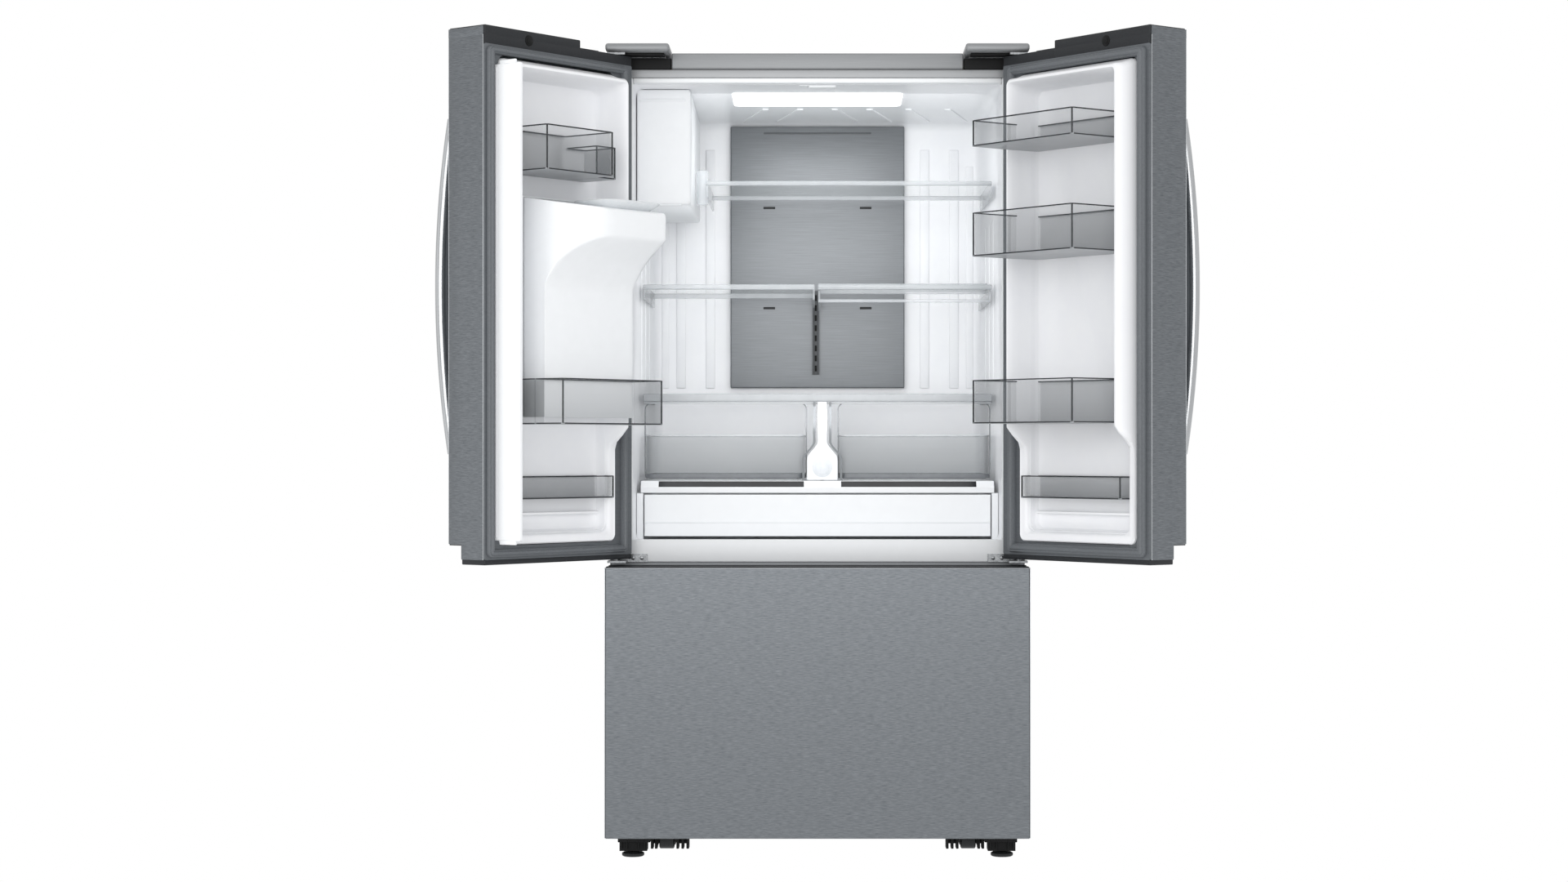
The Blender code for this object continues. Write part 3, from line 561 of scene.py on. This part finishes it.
# Pantry cover and drawer: a white frame with two dark glass strips along its sloping front, over
# a full-width drawer with a white front panel, creased along its lower third.
slope = [(0.215, 0.7885), (0.2055, 0.7885), (0.2045, 0.800), (0.2150, 0.8146), (0.652, 0.8146),
         (0.652, 0.806), (0.230, 0.803)]


def extruded(outline, span, axis="x"):
    """An outline in the other two axes, carried along one axis."""
    others = [letter for letter in "xyz" if letter != axis]
    order = others[0] + others[1] + axis
    corners = np.array(outline, dtype=float)
    grid = np.array([np.column_stack([corners, np.full(len(corners), s)]) for s in span])
    return grid[:, :, [order.index(letter) for letter in "xyz"]]


def soften(made, width, segments=3):
    """Rounds a piece's sharp edges by a width in metres."""
    edge = made.modifiers.new("rounded edges", "BEVEL")
    edge.width = width
    edge.segments = segments
    edge.limit_method = "ANGLE"
    edge.harden_normals = False


cover_half = wall_x(front_y + 0.655) - 0.001
soften(piece("pantry_lid", [extruded([(front_y + y, z) for y, z in slope], (-cover_half, cover_half))],
             satin_white, "root", ["pantry_cover"]), 0.001)
dark_glass = surface_finish("black_printed_glass", "#2B2D30", "#232527", 0.12, (40, 40, 40), relief=0.0)
strips = []
for span in ((-0.350, -0.030), (0.052, 0.350)):
    strips.append(extruded([(front_y + y, z) for y, z in ((0.2053, 0.8016), (0.2141, 0.8138),
                                                          (0.2152, 0.8130), (0.2064, 0.8008))],
                           span))
piece("pantry_lid_strips", strips, dark_glass, "root")
piece("pantry_posts", [block(on_side(side, 0.3835, 0.3985), deep(0.206, 0.230), (0.6835, 0.788), 0.002)
                       for side in (-1, 1)], satin_white, "root")
front_outline = [(0.2005, 0.7845), (0.2005, 0.7235), (0.2022, 0.7215), (0.2022, 0.6930), (0.216, 0.6930),
                 (0.216, 0.7845)]
soften(piece("pantry_front", [extruded([(front_y + y, z) for y, z in front_outline], (-0.381, 0.381))],
             satin_white, "pantry"), 0.0012)
piece("pantry_tub", [tub((-0.379, 0.379), deep(0.2165, 0.6395), (0.6935, 0.780), 0.003, 0.012)], clear_wall,
      "pantry", ["pantry_drawer"])

# Freezer drawer front: stainless sheet folded round the foamed panel. Its grain was rolled and
# brushed lengthwise in strokes of 10 to 40 mm, each under a millimetre high, drawn at twice that.
stainless = surface_finish("brushed_stainless_steel", "#7F8387", "#606468", 0.36, (15, 15, 1.3), 0.85,
                           relief=0.00006, bands=6.0)
# A lighter steel colour for thin strips along folded edges: a painted highlight.
painted_highlight_steel = surface_finish("painted_highlight_stainless", "#C4C7CA", "#B8BBBE", 0.3, (4, 4, 4), 0.9, relief=0.0)
charcoal = surface_finish("moulded_charcoal_abs", "#2B2D30", "#242629", 0.55, (3, 3, 3))
charcoal.node_tree.nodes["Principled BSDF"].inputs["Specular IOR Level"].default_value = 0.3
seal_grey = surface_finish("extruded_grey_vinyl", "#686C70", "#5F6367", 0.55, (4, 4, 4), relief=0.0001)
panel_grey = surface_finish("prepainted_grey_steel", "#6B6F73", "#63676B", 0.45, (30, 30, 3), 0.4,
                            relief=0.00005)
drawer_outline = [(0.0, 0.0545), (0.0915, 0.0545), (0.0915, 0.6315), (0.0815, 0.6315), (0.0815, 0.597),
                  (0.0345, 0.597), (0.0345, 0.6315), (0.0, 0.6315)]
soften(piece("freezer_drawer_skin", [extruded([(front_y + y, z) for y, z in drawer_outline],
                                              (-0.4525, 0.4525))],
             stainless, "freezer_drawer", ["freezer_skin"]), 0.0022)
piece("freezer_drawer_sides", [block(on_side(side, 0.4520, 0.454), deep(0.0015, 0.0910), (0.0555, 0.6315),
                                     0.0009)
                               for side in (-1, 1)], stainless, "freezer_drawer")
# Thin strips of the lighter steel down the sides and along the top of the front: painted highlight on the
# folded edges.
piece("freezer_drawer_painted_highlight_edges", [block(on_side(side, 0.4526, 0.4539), deep(-0.0001, 0.0012),
                                         (0.0560, 0.6312), 0.0004)
                                   for side in (-1, 1)]
      + [block((-0.4535, 0.4535), deep(-0.0001, 0.0010), (0.6302, 0.6314), 0.0004)], painted_highlight_steel,
      "freezer_drawer")
piece("freezer_drawer_cap", [block((-0.4515, 0.4515), deep(0.0012, 0.0340), (0.6305, 0.6339), 0.0015),
                             block((-0.4515, 0.4515), deep(0.0820, 0.0995), (0.6200, 0.6339), 0.0015),
                             block((-0.4500, 0.4500), deep(0.0350, 0.0812), (0.5965, 0.5990), 0.0008)],
      charcoal, "freezer_drawer")
piece("freezer_inner_panel", [block((-0.4505, 0.4505), deep(0.0916, 0.1028), (0.0570, 0.6195), 0.002),
                              block((-0.395, 0.395), deep(0.1020, 0.1135), (0.120, 0.590), 0.006)],
      satin_white, "freezer_drawer", ["freezer_door_liner"])


def seal_strip(x, z, y, width=0.018):
    """A door seal: a ring of hollow vinyl whose section has a flat base, two lips and a bulb."""
    profile = ((0.0, 0.0), (-0.0004, 0.45), (0.12, 0.80), (0.25, 0.72), (0.40, 0.98), (0.62, 1.0),
               (0.78, 0.72), (0.9, 0.80), (1.0, 0.45), (1.0, 0.0))
    steps = [(width * across, y[0] + (y[1] - y[0]) * rise) for across, rise in profile]
    return rings(x, z, 0.012, steps, "xzy", 6)


piece("freezer_seal", [seal_strip((-0.437, 0.437), (0.075, 0.628), deep(0.1030, 0.1144))], seal_grey,
      "freezer_drawer", ["freezer_gasket"], loop=True)
basket_y = deep(0.1505, 0.5645)
piece("freezer_tub", [tub((-0.3695, 0.3695), basket_y, (0.1305, 0.4495), 0.004, 0.03)], satin_white,
      "freezer_drawer", ["freezer_basket"])
piece("freezer_runners", [block(on_side(side, 0.3705, 0.3905), deep(0.1040, 0.5645), (0.4005, 0.4195),
                                0.002, "y")
                          for side in (-1, 1)], zinc_plate, "freezer_drawer")


# Doors: drawn shut, then turned about their hinge pins to the angle that they stand open at.
# A stainless pan wraps the front and the sides, over urethane foam; charcoal mouldings close the
# top and bottom, and a grey frame behind carries the seal.
joints = {joint["name"]: joint for joint in frame["joints"]}
DOOR_TURN = math.radians(-joints["left_door_hinge"]["range_deg"][0])
DOOR_WIDTH = 0.4515
DOOR_BACK = 0.103
HALF_SLIT = 0.0025
LOW_Z = 0.6485
RING_POINTS = 20


def swing(grids, side):
    """Turns shapes drawn on a shut door to where the open door has them."""
    pin = joints["left_door_hinge" if side < 0 else "right_door_hinge"]["pos_m"]
    angle = side * DOOR_TURN
    turned = []
    for grid in grids:
        x, y = grid[..., 0] - pin[0], grid[..., 1] - pin[1]
        turned.append(np.stack([pin[0] + x * math.cos(angle) - y * math.sin(angle),
                                pin[1] + x * math.sin(angle) + y * math.cos(angle), grid[..., 2]], axis=-1))
    return turned


def door_x(side, near, far):
    """An X span from two distances off the door's free edge."""
    return tuple(sorted((side * (HALF_SLIT + near), side * (HALF_SLIT + far))))


def stack_of(sections):
    """Rounded rectangles of any sizes, each (x span, z span, radius, depth), stacked in depth."""
    grid = np.array([np.column_stack([rounded_ring(x, z, radius), np.full(RING_POINTS, front_y + depth)])
                     for x, z, radius, depth in sections])
    return grid[:, :, [0, 2, 1]]


def pan_edge(side, inset, low):
    """The steel pan's outline drawn in by an inset, from a lower edge to the door's top."""
    return door_x(side, inset, DOOR_WIDTH - inset), (low + inset, 1.7285 - inset), max(0.003 - inset,
                                                                                       0.0008)


FACE_LOW, PAN_LOW = 0.6885, 0.6580
for side, word in ((-1, "left"), (1, "right")):
    body = f"{word}_door"
    hollow = door_x(side, 0.0365, 0.3955), (0.6865, 1.6935), 0.025
    # The left door's face has a window for the dispenser's well.
    window = door_x(-1, 0.1425, 0.3435), (1.0195, 1.4005), 0.0015
    opening = [(*window, 0.0720), (*window, 0.0)] if side < 0 else []
    steps = ((0.0020, FACE_LOW, 0.0), (0.0006, FACE_LOW, 0.0006), (0.0, FACE_LOW, 0.0020),
             (0.0, FACE_LOW, 0.0364), (0.0, PAN_LOW, 0.0366), (0.0, PAN_LOW, 0.0978),
             (0.0007, PAN_LOW, 0.0985))
    pan = stack_of(opening + [(*pan_edge(side, inset, low), depth) for inset, low, depth in steps]
                   + [(*hollow, 0.0985), (*hollow, 0.0720)])
    piece(f"{word}_door_pan", swing([pan], side), stainless, body, [f"{word}_door_skin"], loop=side < 0)
    top_strip = [block(door_x(side, 0.0, 0.0016), deep(0.0, 0.0985), (1.7265, 1.7455), 0.0007),
                 block(door_x(side, 0.0, 0.2865), deep(0.0, 0.0016), (1.7265, 1.7455), 0.0007)]
    piece(f"{word}_door_top_hem", swing(top_strip, side), stainless, body)
    # Thin strips of the lighter steel along the free edge's rear and front corners: painted highlight.
    highlight_strips = [block(door_x(side, 0.0000, 0.0016), deep(0.0968, 0.0990), (0.6590, 1.7280), 0.0006),
            block(door_x(side, 0.0000, 0.0010), deep(-0.0001, 0.0012), (0.6900, 1.7440), 0.0004)]
    piece(f"{word}_door_painted_highlight_edges", swing(highlight_strips, side), painted_highlight_steel, body)
    caps = [block(door_x(side, 0.0012, 0.288), deep(0.0012, 0.1030), (1.7270, 1.7478), 0.0025),
            block(door_x(side, 0.0020, 0.288), deep(0.0985, 0.1030), (1.7095, 1.7300), 0.0010),
            block(door_x(side, 0.286, 0.4495), deep(0.0020, 0.1028), (1.7270, 1.7305), 0.0012),
            block(door_x(side, 0.286, 0.4495), deep(0.0985, 0.1030), (1.7095, 1.7300), 0.0010),
            block(door_x(side, 0.2900, 0.3500), deep(0.030, 0.098), (1.7298, 1.7326), 0.0008),
            block(door_x(side, 0.0010, 0.4505), deep(0.0372, 0.1028), (LOW_Z, 0.6595), 0.002),
            block(door_x(side, 0.0020, 0.4495), deep(0.0010, 0.0370), (0.6872, 0.6890), 0.0006)]
    piece(f"{word}_door_caps", swing(caps, side), charcoal, body)
    plug = [rod((side * (HALF_SLIT + 0.1305), 0.0, 1.7285), 0.0115, deep(0.1015, 0.1042), "y", 32, 0.001),
            rod((side * (HALF_SLIT + 0.1305), 0.0, 1.7285), 0.0075, deep(0.1030, 0.1052), "y", 32, 0.0008)]
    piece(f"{word}_door_plug", swing(plug, side), black_plastic, body)
    rim = door_x(side, 0.0012, 0.4500), (0.6590, 1.7100), 0.003
    mouth = door_x(side, 0.0375, 0.3945), (0.6875, 1.6925), 0.025
    frame_plate = stack_of([(*rim, 0.0975), (*rim, 0.1030), (*mouth, 0.1030), (*mouth, 0.0975)])
    piece(f"{word}_door_frame", swing([frame_plate], side), panel_grey, body, loop=True)
    near, far, seal_width = (0.006, 0.4295, 0.0165) if side < 0 else (0.012, 0.4295, 0.020)
    piece(f"{word}_door_seal", swing([seal_strip(door_x(side, near, far), (0.664, 1.706),
                                                 deep(0.1030, 0.1144), seal_width)], side),
          seal_grey, body, [f"{word}_door_gasket"], loop=True)

# Door liners: drawn polystyrene like the cabinet's. A high ridge round the bin space hooks the bins;
# it sinks into the panel below the large bin.
RIDGE = 0.046
# Each step across the ridge: inset, height over the panel, and how much of the ridge it carries.
LINER_STEPS = ((0.0385, -0.0295, 0.0), (0.0265, -0.0265, 0.0), (0.0235, -0.005, 0.0), (0.0, -0.004, 0.0),
               (0.0006, 0.004, 0.0), (0.003, 0.007, 0.5), (0.0055, 0.006, 0.88), (0.009, 0.005, 1.0),
               (0.013, 0.005, 1.0), (0.017, 0.004, 0.90), (0.021, 0.0, 0.55), (0.024, -0.014, 0.0),
               (0.029, -0.024, 0.0), (0.036, -0.0275, 0.0))
for side, word in ((-1, "left"), (1, "right")):
    span_u = door_x(side, 0.0395, 0.3915)
    stack = []
    for inset, base, share in LINER_STEPS:
        top = 1.6840 if inset < 0.002 else 1.6765
        stack.append((rounded_ring((span_u[0] + inset, span_u[1] - inset), (0.6885 + inset, top - inset),
                                   max(0.014 - 0.3 * inset, 0.006) if inset < 0.020 else 0.016, 8), base,
                      share))
    if side < 0:
        window = rounded_ring(door_x(side, 0.1405, 0.3455), (1.0170, 1.4030), 0.004, 8)
        stack = [(window, -0.0295, 0.0)] + stack + [(window, -0.0275, 0.0)]
    grid = []
    for ring, base, share in stack:
        along = np.linspace(0, 1, 65)[:, None]
        following = np.roll(ring, -1, axis=0)
        ring = np.concatenate([(a + (b - a) * along[:-1]) if np.hypot(*(b - a)) > 0.05 else a[None]
                               for a, b in zip(ring, following)])
        rise = np.clip((ring[:, 1] - 0.885) / 0.050, 0, 1)
        lift = base + share * RIDGE * ease(rise)
        grid.append(np.column_stack([ring[:, 0], front_y + DOOR_BACK + lift, ring[:, 1]]))
    piece(f"{word}_door_inner_liner", swing([np.array(grid)], side), drawn_white, f"{word}_door",
          [f"{word}_door_liner"], loop=side < 0)
    lower_lip = [block(door_x(side, 0.070, 0.361), deep(0.0770, 0.0885), (0.748, 0.7535), 0.002, "x")]
    piece(f"{word}_door_liner_step", swing(lower_lip, side), drawn_white, f"{word}_door")

# Ice and water duct cover inside the left door: one white moulding, deep under the ice maker and
# sweeping back below it behind the bottle bin, with a soft funnel on top that catches the ice.
# The cover's levels upwards, and how far it reaches into the cabinet at each; its free corner is an
# ellipse, cut short where the cover reaches less.
DUCT_FAR, DUCT_NEAR, DUCT_BACK = 0.376, 0.100, 0.0090
BELLY_REACH, CORNER_REACH, CORNER_WIDTH = 0.073, 0.093, 0.108
heights = (0.9505, 1.05, 1.15, 1.206, 1.223, 1.236, 1.250, 1.264, 1.277, 1.289, 1.300, 1.309, 1.316, 1.321,
           1.326, 1.350, 1.370)
reach = (0.073, 0.073, 0.073, 0.073, 0.0745, 0.081, 0.091, 0.101, 0.113, 0.126, 0.139, 0.150, 0.159, 0.1645,
         0.166, 0.166, 0.166)
duct = []
for z, v in [*zip(heights, reach), (1.3755, 0.1645), (1.3785, 0.160)]:
    top_angle = math.asin(min((v - BELLY_REACH) / CORNER_REACH, 1.0))
    sweep = np.linspace(top_angle, 0.0, 18)
    corner = np.column_stack([DUCT_NEAR + CORNER_WIDTH - CORNER_WIDTH * np.cos(sweep),
                              BELLY_REACH + CORNER_REACH * np.sin(sweep)])
    outline = np.concatenate([np.linspace((DUCT_FAR, DUCT_BACK), (DUCT_FAR, v), 20)[:-1],
                              np.linspace((DUCT_FAR, v), corner[0], 30)[:-1], corner[:-1],
                              np.linspace((DUCT_NEAR, BELLY_REACH), (DUCT_NEAR, DUCT_BACK), 16)[:-1],
                              np.linspace((DUCT_NEAR, DUCT_BACK), (DUCT_FAR, DUCT_BACK), 24)[:-1]])
    for _ in range(2):
        outline = (np.roll(outline, 1, axis=0) + 2 * outline + np.roll(outline, -1, axis=0)) / 4
    rise = np.clip((0.166 - outline[:, 1]) / 0.19, 0, 1) * 0.030 * max(z - 1.33, 0) / 0.0485
    duct.append(np.column_stack([-(HALF_SLIT + outline[:, 0]), front_y + DOOR_BACK + outline[:, 1],
                                 z + rise]))
skirts = [block(door_x(-1, *u), deep(0.0770, 0.1135), z, 0.0008)
          for u, z in (((0.1002, 0.1035), (0.951, 1.404)), ((0.3730, 0.3758), (0.951, 1.404)),
                       ((0.1010, 0.3750), (0.951, 0.954)), ((0.1010, 0.3750), (1.4035, 1.4065)))]
piece("dispenser_duct_cover", swing([np.array(duct)] + skirts, -1), satin_white, "left_door")
funnel_white = surface_finish("soft_white_silicone", "#EEF1F3", "#E6EAED", 0.25, (9, 9, 9), alpha=0.9)
funnel = [(0.030, 1.3760), (0.026, 1.3790), (0.018, 1.3860), (0.004, 1.3935), (0.0, 1.3975),
          (0.002, 1.3995), (0.007, 1.3985), (0.018, 1.3920), (0.030, 1.3860)]
piece("ice_funnel", swing([rings(door_x(-1, 0.196, 0.384), deep(0.140, 0.268), 0.050, funnel, "xyz", 10)],
                          -1),
      funnel_white, "left_door")

# Door bins: smoke tinted polystyrene with a frosted floor, moulded in one and hooked on the
# liner's ridges. Wall edges show dark because light leaves the sheet there, and that shade is
# painted on as dark lines along the rims and uprights.
def door_bin(name, side, u, depths, z, node):
    """A bin with its floor, rim line and upright edge lines."""
    x, y = door_x(side, *u), deep(*depths)
    body = "left_door" if side < 0 else "right_door"
    walls = [tub(x, y, z, 0.0026, 0.007)]
    opens_into_next = name in ("left_bottle_bin", "left_upper_side_bin")
    if opens_into_next:
        walls = [block(x, (y[1] - 0.0026, y[1]), z, 0.0008),
                 block((x[0], x[0] + 0.0026), (y[0], y[1] - 0.003), z, 0.0008)]
        if node:
            walls.append(block((x[1] - 0.0026, x[1]), (y[0], y[1] - 0.003), z, 0.0008))
    piece(f"{name}_walls", swing(walls, side), smoke_wall, body, [node] if node else [])
    piece(f"{name}_floor", swing([block((x[0] - 0.0004, x[1] + 0.0004), (y[0], y[1] + 0.0004),
                                        (z[0] - 0.0004, z[0] + 0.0030), 0.0014)], side),
          smoke_floor, body)
    # Dark lines round the rim and the foot, and up the corners: painted shade of the sheet's edges.
    lines = [rim_band(x, y, (z[1] - 0.0022, z[1] + 0.0002), 0.0030, 0.007),
             rim_band(x, y, (z[0] + 0.0002, z[0] + 0.0028), 0.0028, 0.007)]
    piece(f"{name}_lines", swing(lines, side), smoke_and_painted_edge_shade, body, loop=True)
    uprights = [block((c - 0.0013, c + 0.0013), (y[1] - 0.0030, y[1] + 0.0004), z, 0.0008)
                for c in (x[0] + 0.0016, x[1] - 0.0016)]
    piece(f"{name}_uprights", swing(uprights, side), smoke_and_painted_edge_shade, body)


wing_x = door_x(-1, 0.0680, 0.0985)
wing_y = deep(0.0775, 0.1780)
wing_z = (0.9355, 1.0285)
piece("left_bottle_bin_wing", swing([block((wing_x[1] - 0.0026, wing_x[1]), wing_y, wing_z, 0.0008),
                                     block((wing_x[0], wing_x[0] + 0.0026), (wing_y[0], wing_y[1] - 0.002),
                                           wing_z, 0.0008)], -1),
      smoke_wall, "left_door")
piece("left_bottle_bin_wing_floor", swing([block(wing_x, wing_y, (wing_z[0] - 0.0004, wing_z[0] + 0.0030),
                                                 0.001)], -1),
      smoke_floor, "left_door")
# Dark lines along the wing's rim and foot: painted shade of the sheet's edges.
piece("left_bottle_bin_wing_lines", swing([block((wing_x[1] - 0.0024, wing_x[1] + 0.0003), wing_y,
                                                 (z, z + 0.0024), 0.0008)
                                           for z in (wing_z[0], wing_z[1] - 0.0022)], -1), smoke_and_painted_edge_shade,
      "left_door")
for name, side, u, depths, z, node in (
        ("right_upper_bin", 1, (0.068, 0.3745), (0.0775, 0.2560), (1.5205, 1.5755), "right_bin_top"),
        ("right_middle_bin", 1, (0.068, 0.3745), (0.0775, 0.2560), (1.2895, 1.3815), "right_bin_middle"),
        ("right_bottle_bin", 1, (0.068, 0.3745), (0.0775, 0.2560), (0.9385, 1.0295), "right_bin_large"),
        ("right_lower_bin", 1, (0.068, 0.3710), (0.0775, 0.1225), (0.7815, 0.8285), "right_bin_bottom"),
        ("left_upper_bin", -1, (0.068, 0.268), (0.0775, 0.2125), (1.4525, 1.5445), "left_bin_top"),
        ("left_upper_side_bin", -1, (0.2695, 0.329), (0.0775, 0.1650), (1.4525, 1.5200), None),
        ("left_bottle_bin", -1, (0.068, 0.3745), (0.1775, 0.2560), (0.9355, 1.0285), "left_bin_large"),
        ("left_lower_bin", -1, (0.068, 0.3710), (0.0775, 0.1225), (0.7815, 0.8285), "left_bin_bottom")):
    door_bin(name, side, u, depths, z, node)

# Handles: aluminium bar of oval section, stretch-bent to a long shallow bow, satin blasted and
# clear anodised; its tapering ends sit flat on the door over hidden posts.
anodised = surface_finish("satin_anodised_aluminium", "#BCBEC0", "#B0B2B4", 0.24, (4, 4, 160), 1.0,
                          relief=0.00003)
END_GAP, BOW = 0.0135, 0.0393
BAR_HALF_WIDTH, BAR_HALF_DEPTH = 0.0168, 0.0128
for side, word in ((-1, "left"), (1, "right")):
    low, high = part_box(f"{word}_door_handle")
    part = np.linspace(-1, 1, 49)
    out = END_GAP + BOW * (1 - part ** 2)
    end = np.clip((1 - np.abs(part)) / 0.03, 0, 1)
    end = np.sqrt(1 - (1 - end) ** 2) * 0.85 + 0.15
    around = np.linspace(0, 2 * math.pi, 32, endpoint=False)
    middle, half = (low[2] + high[2]) / 2, (high[2] - low[2]) / 2
    rows = np.stack([side * (HALF_SLIT + 0.035) + BAR_HALF_WIDTH * np.outer(end, np.cos(around)),
                     front_y - out[:, None] + BAR_HALF_DEPTH * np.outer(end, np.sin(around)),
                     np.repeat((middle + part * half)[:, None], 32, axis=1)], axis=-1)
    piece(f"{word}_bow_handle", swing([rows], side), anodised, f"{word}_door", [f"{word}_door_handle"])

# Mullion flap: a hinged white post on the left door that closes the slit between the doors. Its
# face has raised ribs, and small knuckles hold it to the door's edge.
flap_x, flap_y = (-0.0385, -0.0265), deep(0.1045, 0.1765)
flap_parts = [block(flap_x, flap_y, (0.6985, 1.6680), 0.003)]
flap_parts += [block((flap_x[1] - 0.001, flap_x[1] + 0.0004), (flap_y[0] + a, flap_y[0] + a + w),
                     (0.705, 1.662), 0.0004)
               for a, w in ((0.006, 0.004), (0.016, 0.026), (0.048, 0.018))]
piece("mullion_flap_post", swing(flap_parts, -1), satin_white, "flap", ["mullion_flap"])
piece("mullion_flap_ends", swing([block((-0.036, -0.029), (flap_y[0] + 0.014, flap_y[0] + 0.058), z, 0.002)
                                  for z in ((1.6660, 1.6757), (0.6903, 0.7000))], -1), satin_white, "flap")
piece("mullion_knuckles", swing([rod((-0.0235, front_y + 0.1045, 0.0), 0.0022, (z, z + 0.018), "z", 16,
                                     0.0005)
                                 for z in (0.82, 1.17, 1.52)], -1), black_plastic, "left_door")

# Ice and water dispenser in the left door's face: a black moulded well with a glass control panel
# over it, a spout, a paddle and a slotted drip tray.
gloss_black = surface_finish("gloss_black_abs", "#17181A", "#131416", 0.15, (30, 30, 30), relief=0.0)
dress("dispenser_housing", gloss_black)
piece("dispenser_panel", swing([block(door_x(-1, 0.147, 0.339), deep(-0.0048, -0.0031), (1.305, 1.396),
                                      0.0008, "y")], -1),
      dark_glass, "left_door")
tray_bars = [block(door_x(-1, u, u + 0.004), deep(0.012, 0.092), (1.0305, 1.0335), 0.0008)
             for u in np.arange(0.160, 0.326, 0.0085)]
piece("dispenser_drip_tray", swing(tray_bars, -1), zinc_plate, "left_door")

# Top hinge covers: grey ABS caps clipped over the hinge plates and the wiring to the door.
for side, word in ((-1, "left"), (1, "right")):
    body_span = on_side(side, 0.318, 0.4555)
    piece(f"{word}_hinge_cap", [block(body_span, deep(0.0405, 0.2495), (1.7388, 1.7558), 0.006, "z")],
          rail_grey, "root", [f"hinge_cover_{word}"])
    well = [block(on_side(side, 0.3180, 0.4475), deep(0.1100, 0.1360), (1.7090, 1.7322), 0.001),
            block(on_side(side, 0.3300, 0.4480), deep(0.0700, 0.1090), (1.7340, 1.7386), 0.001)]
    piece(f"{word}_hinge_well", well, black_plastic, "root")
    screws = [rod((side * x, 0.0, 0.6486), 0.0042, deep(0.1082, 0.1112), "y", 20, 0.0008)
              for x in (0.381, 0.400, 0.4305)]
    piece(f"{word}_centre_hinge_screws", screws, zinc_plate, "root")

# Levelling feet and front rollers: glass-filled nylon on steel screws, in black pressed brackets.
for side, word in ((-1, "left"), (1, "right")):
    foot = (side * 0.401, front_y + 0.130, 0.0)
    knurl = np.linspace(0, 2 * math.pi, 96, endpoint=False)
    rows = []
    for radius, z, bite in ((0.0215, 0.0, 0), (0.0238, 0.0015, 0), (0.0243, 0.003, 1), (0.0243, 0.0068, 1),
                            (0.021, 0.0088, 0), (0.0105, 0.0102, 0), (0.0049, 0.0108, 0),
                            (0.0049, 0.0465, 0)):
        r = radius - 0.0006 * bite * (np.sin(knurl * 24) > 0)
        rows.append(np.column_stack([foot[0] + r * np.cos(knurl), foot[1] + r * np.sin(knurl),
                                     np.full(96, z)]))
    piece(f"{word}_foot", [np.array(rows)], nylon, f"{word}_leg", [f"level_leg_{word}"])
    dress(f"foot_bracket_{word}", black_plastic)
    gussets = [block(on_side(side, x, x + 0.003), deep(0.1125, 0.1177), (0.016, 0.050), 0.001)
               for x in (0.374, 0.387, 0.412, 0.424)]
    gussets.append(block(on_side(side, 0.3625, 0.4335), deep(0.1130, 0.1580), (0.0310, 0.0502), 0.002))
    gussets += [block(on_side(side, x, x + 0.006), deep(0.165, 0.196), (0.010, 0.0502), 0.0015)
                for x in (0.2810, 0.2920, 0.3030, 0.3500, 0.3590)]
    gussets += [block(on_side(side, a, b), deep(0.176, 0.185), (0.020, 0.030), 0.003)
                for a, b in ((0.282, 0.308), (0.351, 0.364))]
    piece(f"{word}_bracket_gussets", gussets, black_plastic, "root")
    for name, centre, half, radius in ((f"front_roller_{word}", (side * 0.330, front_y + 0.180, 0.029),
                                        0.0163, 0.0199),
                                       (f"rear_roller_{word}", (side * 0.385, front_y + 0.800, 0.020),
                                        0.0118, 0.0199)):
        wheel_body = {"front": "front_wheel_", "rear": "rear_wheel_"}[name.split("_")[0]] + word
        around = np.linspace(0, 2 * math.pi, 40, endpoint=False)
        section = ((0.0029, -half - 0.003), (0.0029, -half), (0.010, -half), (0.011, -half + 0.003),
                   (0.0165, -half + 0.003), (0.0175, -half), (radius, -half + 0.002),
                   (radius, half - 0.002), (0.0175, half), (0.0165, half - 0.003), (0.011, half - 0.003),
                   (0.010, half), (0.0029, half), (0.0029, half + 0.003))
        rows = [np.column_stack([np.full(40, centre[0] + a), centre[1] + r * np.cos(around),
                                 centre[2] + r * np.sin(around)])
                for r, a in section]
        piece(f"{name}_tread", [np.array(rows)], nylon, wheel_body, [name])
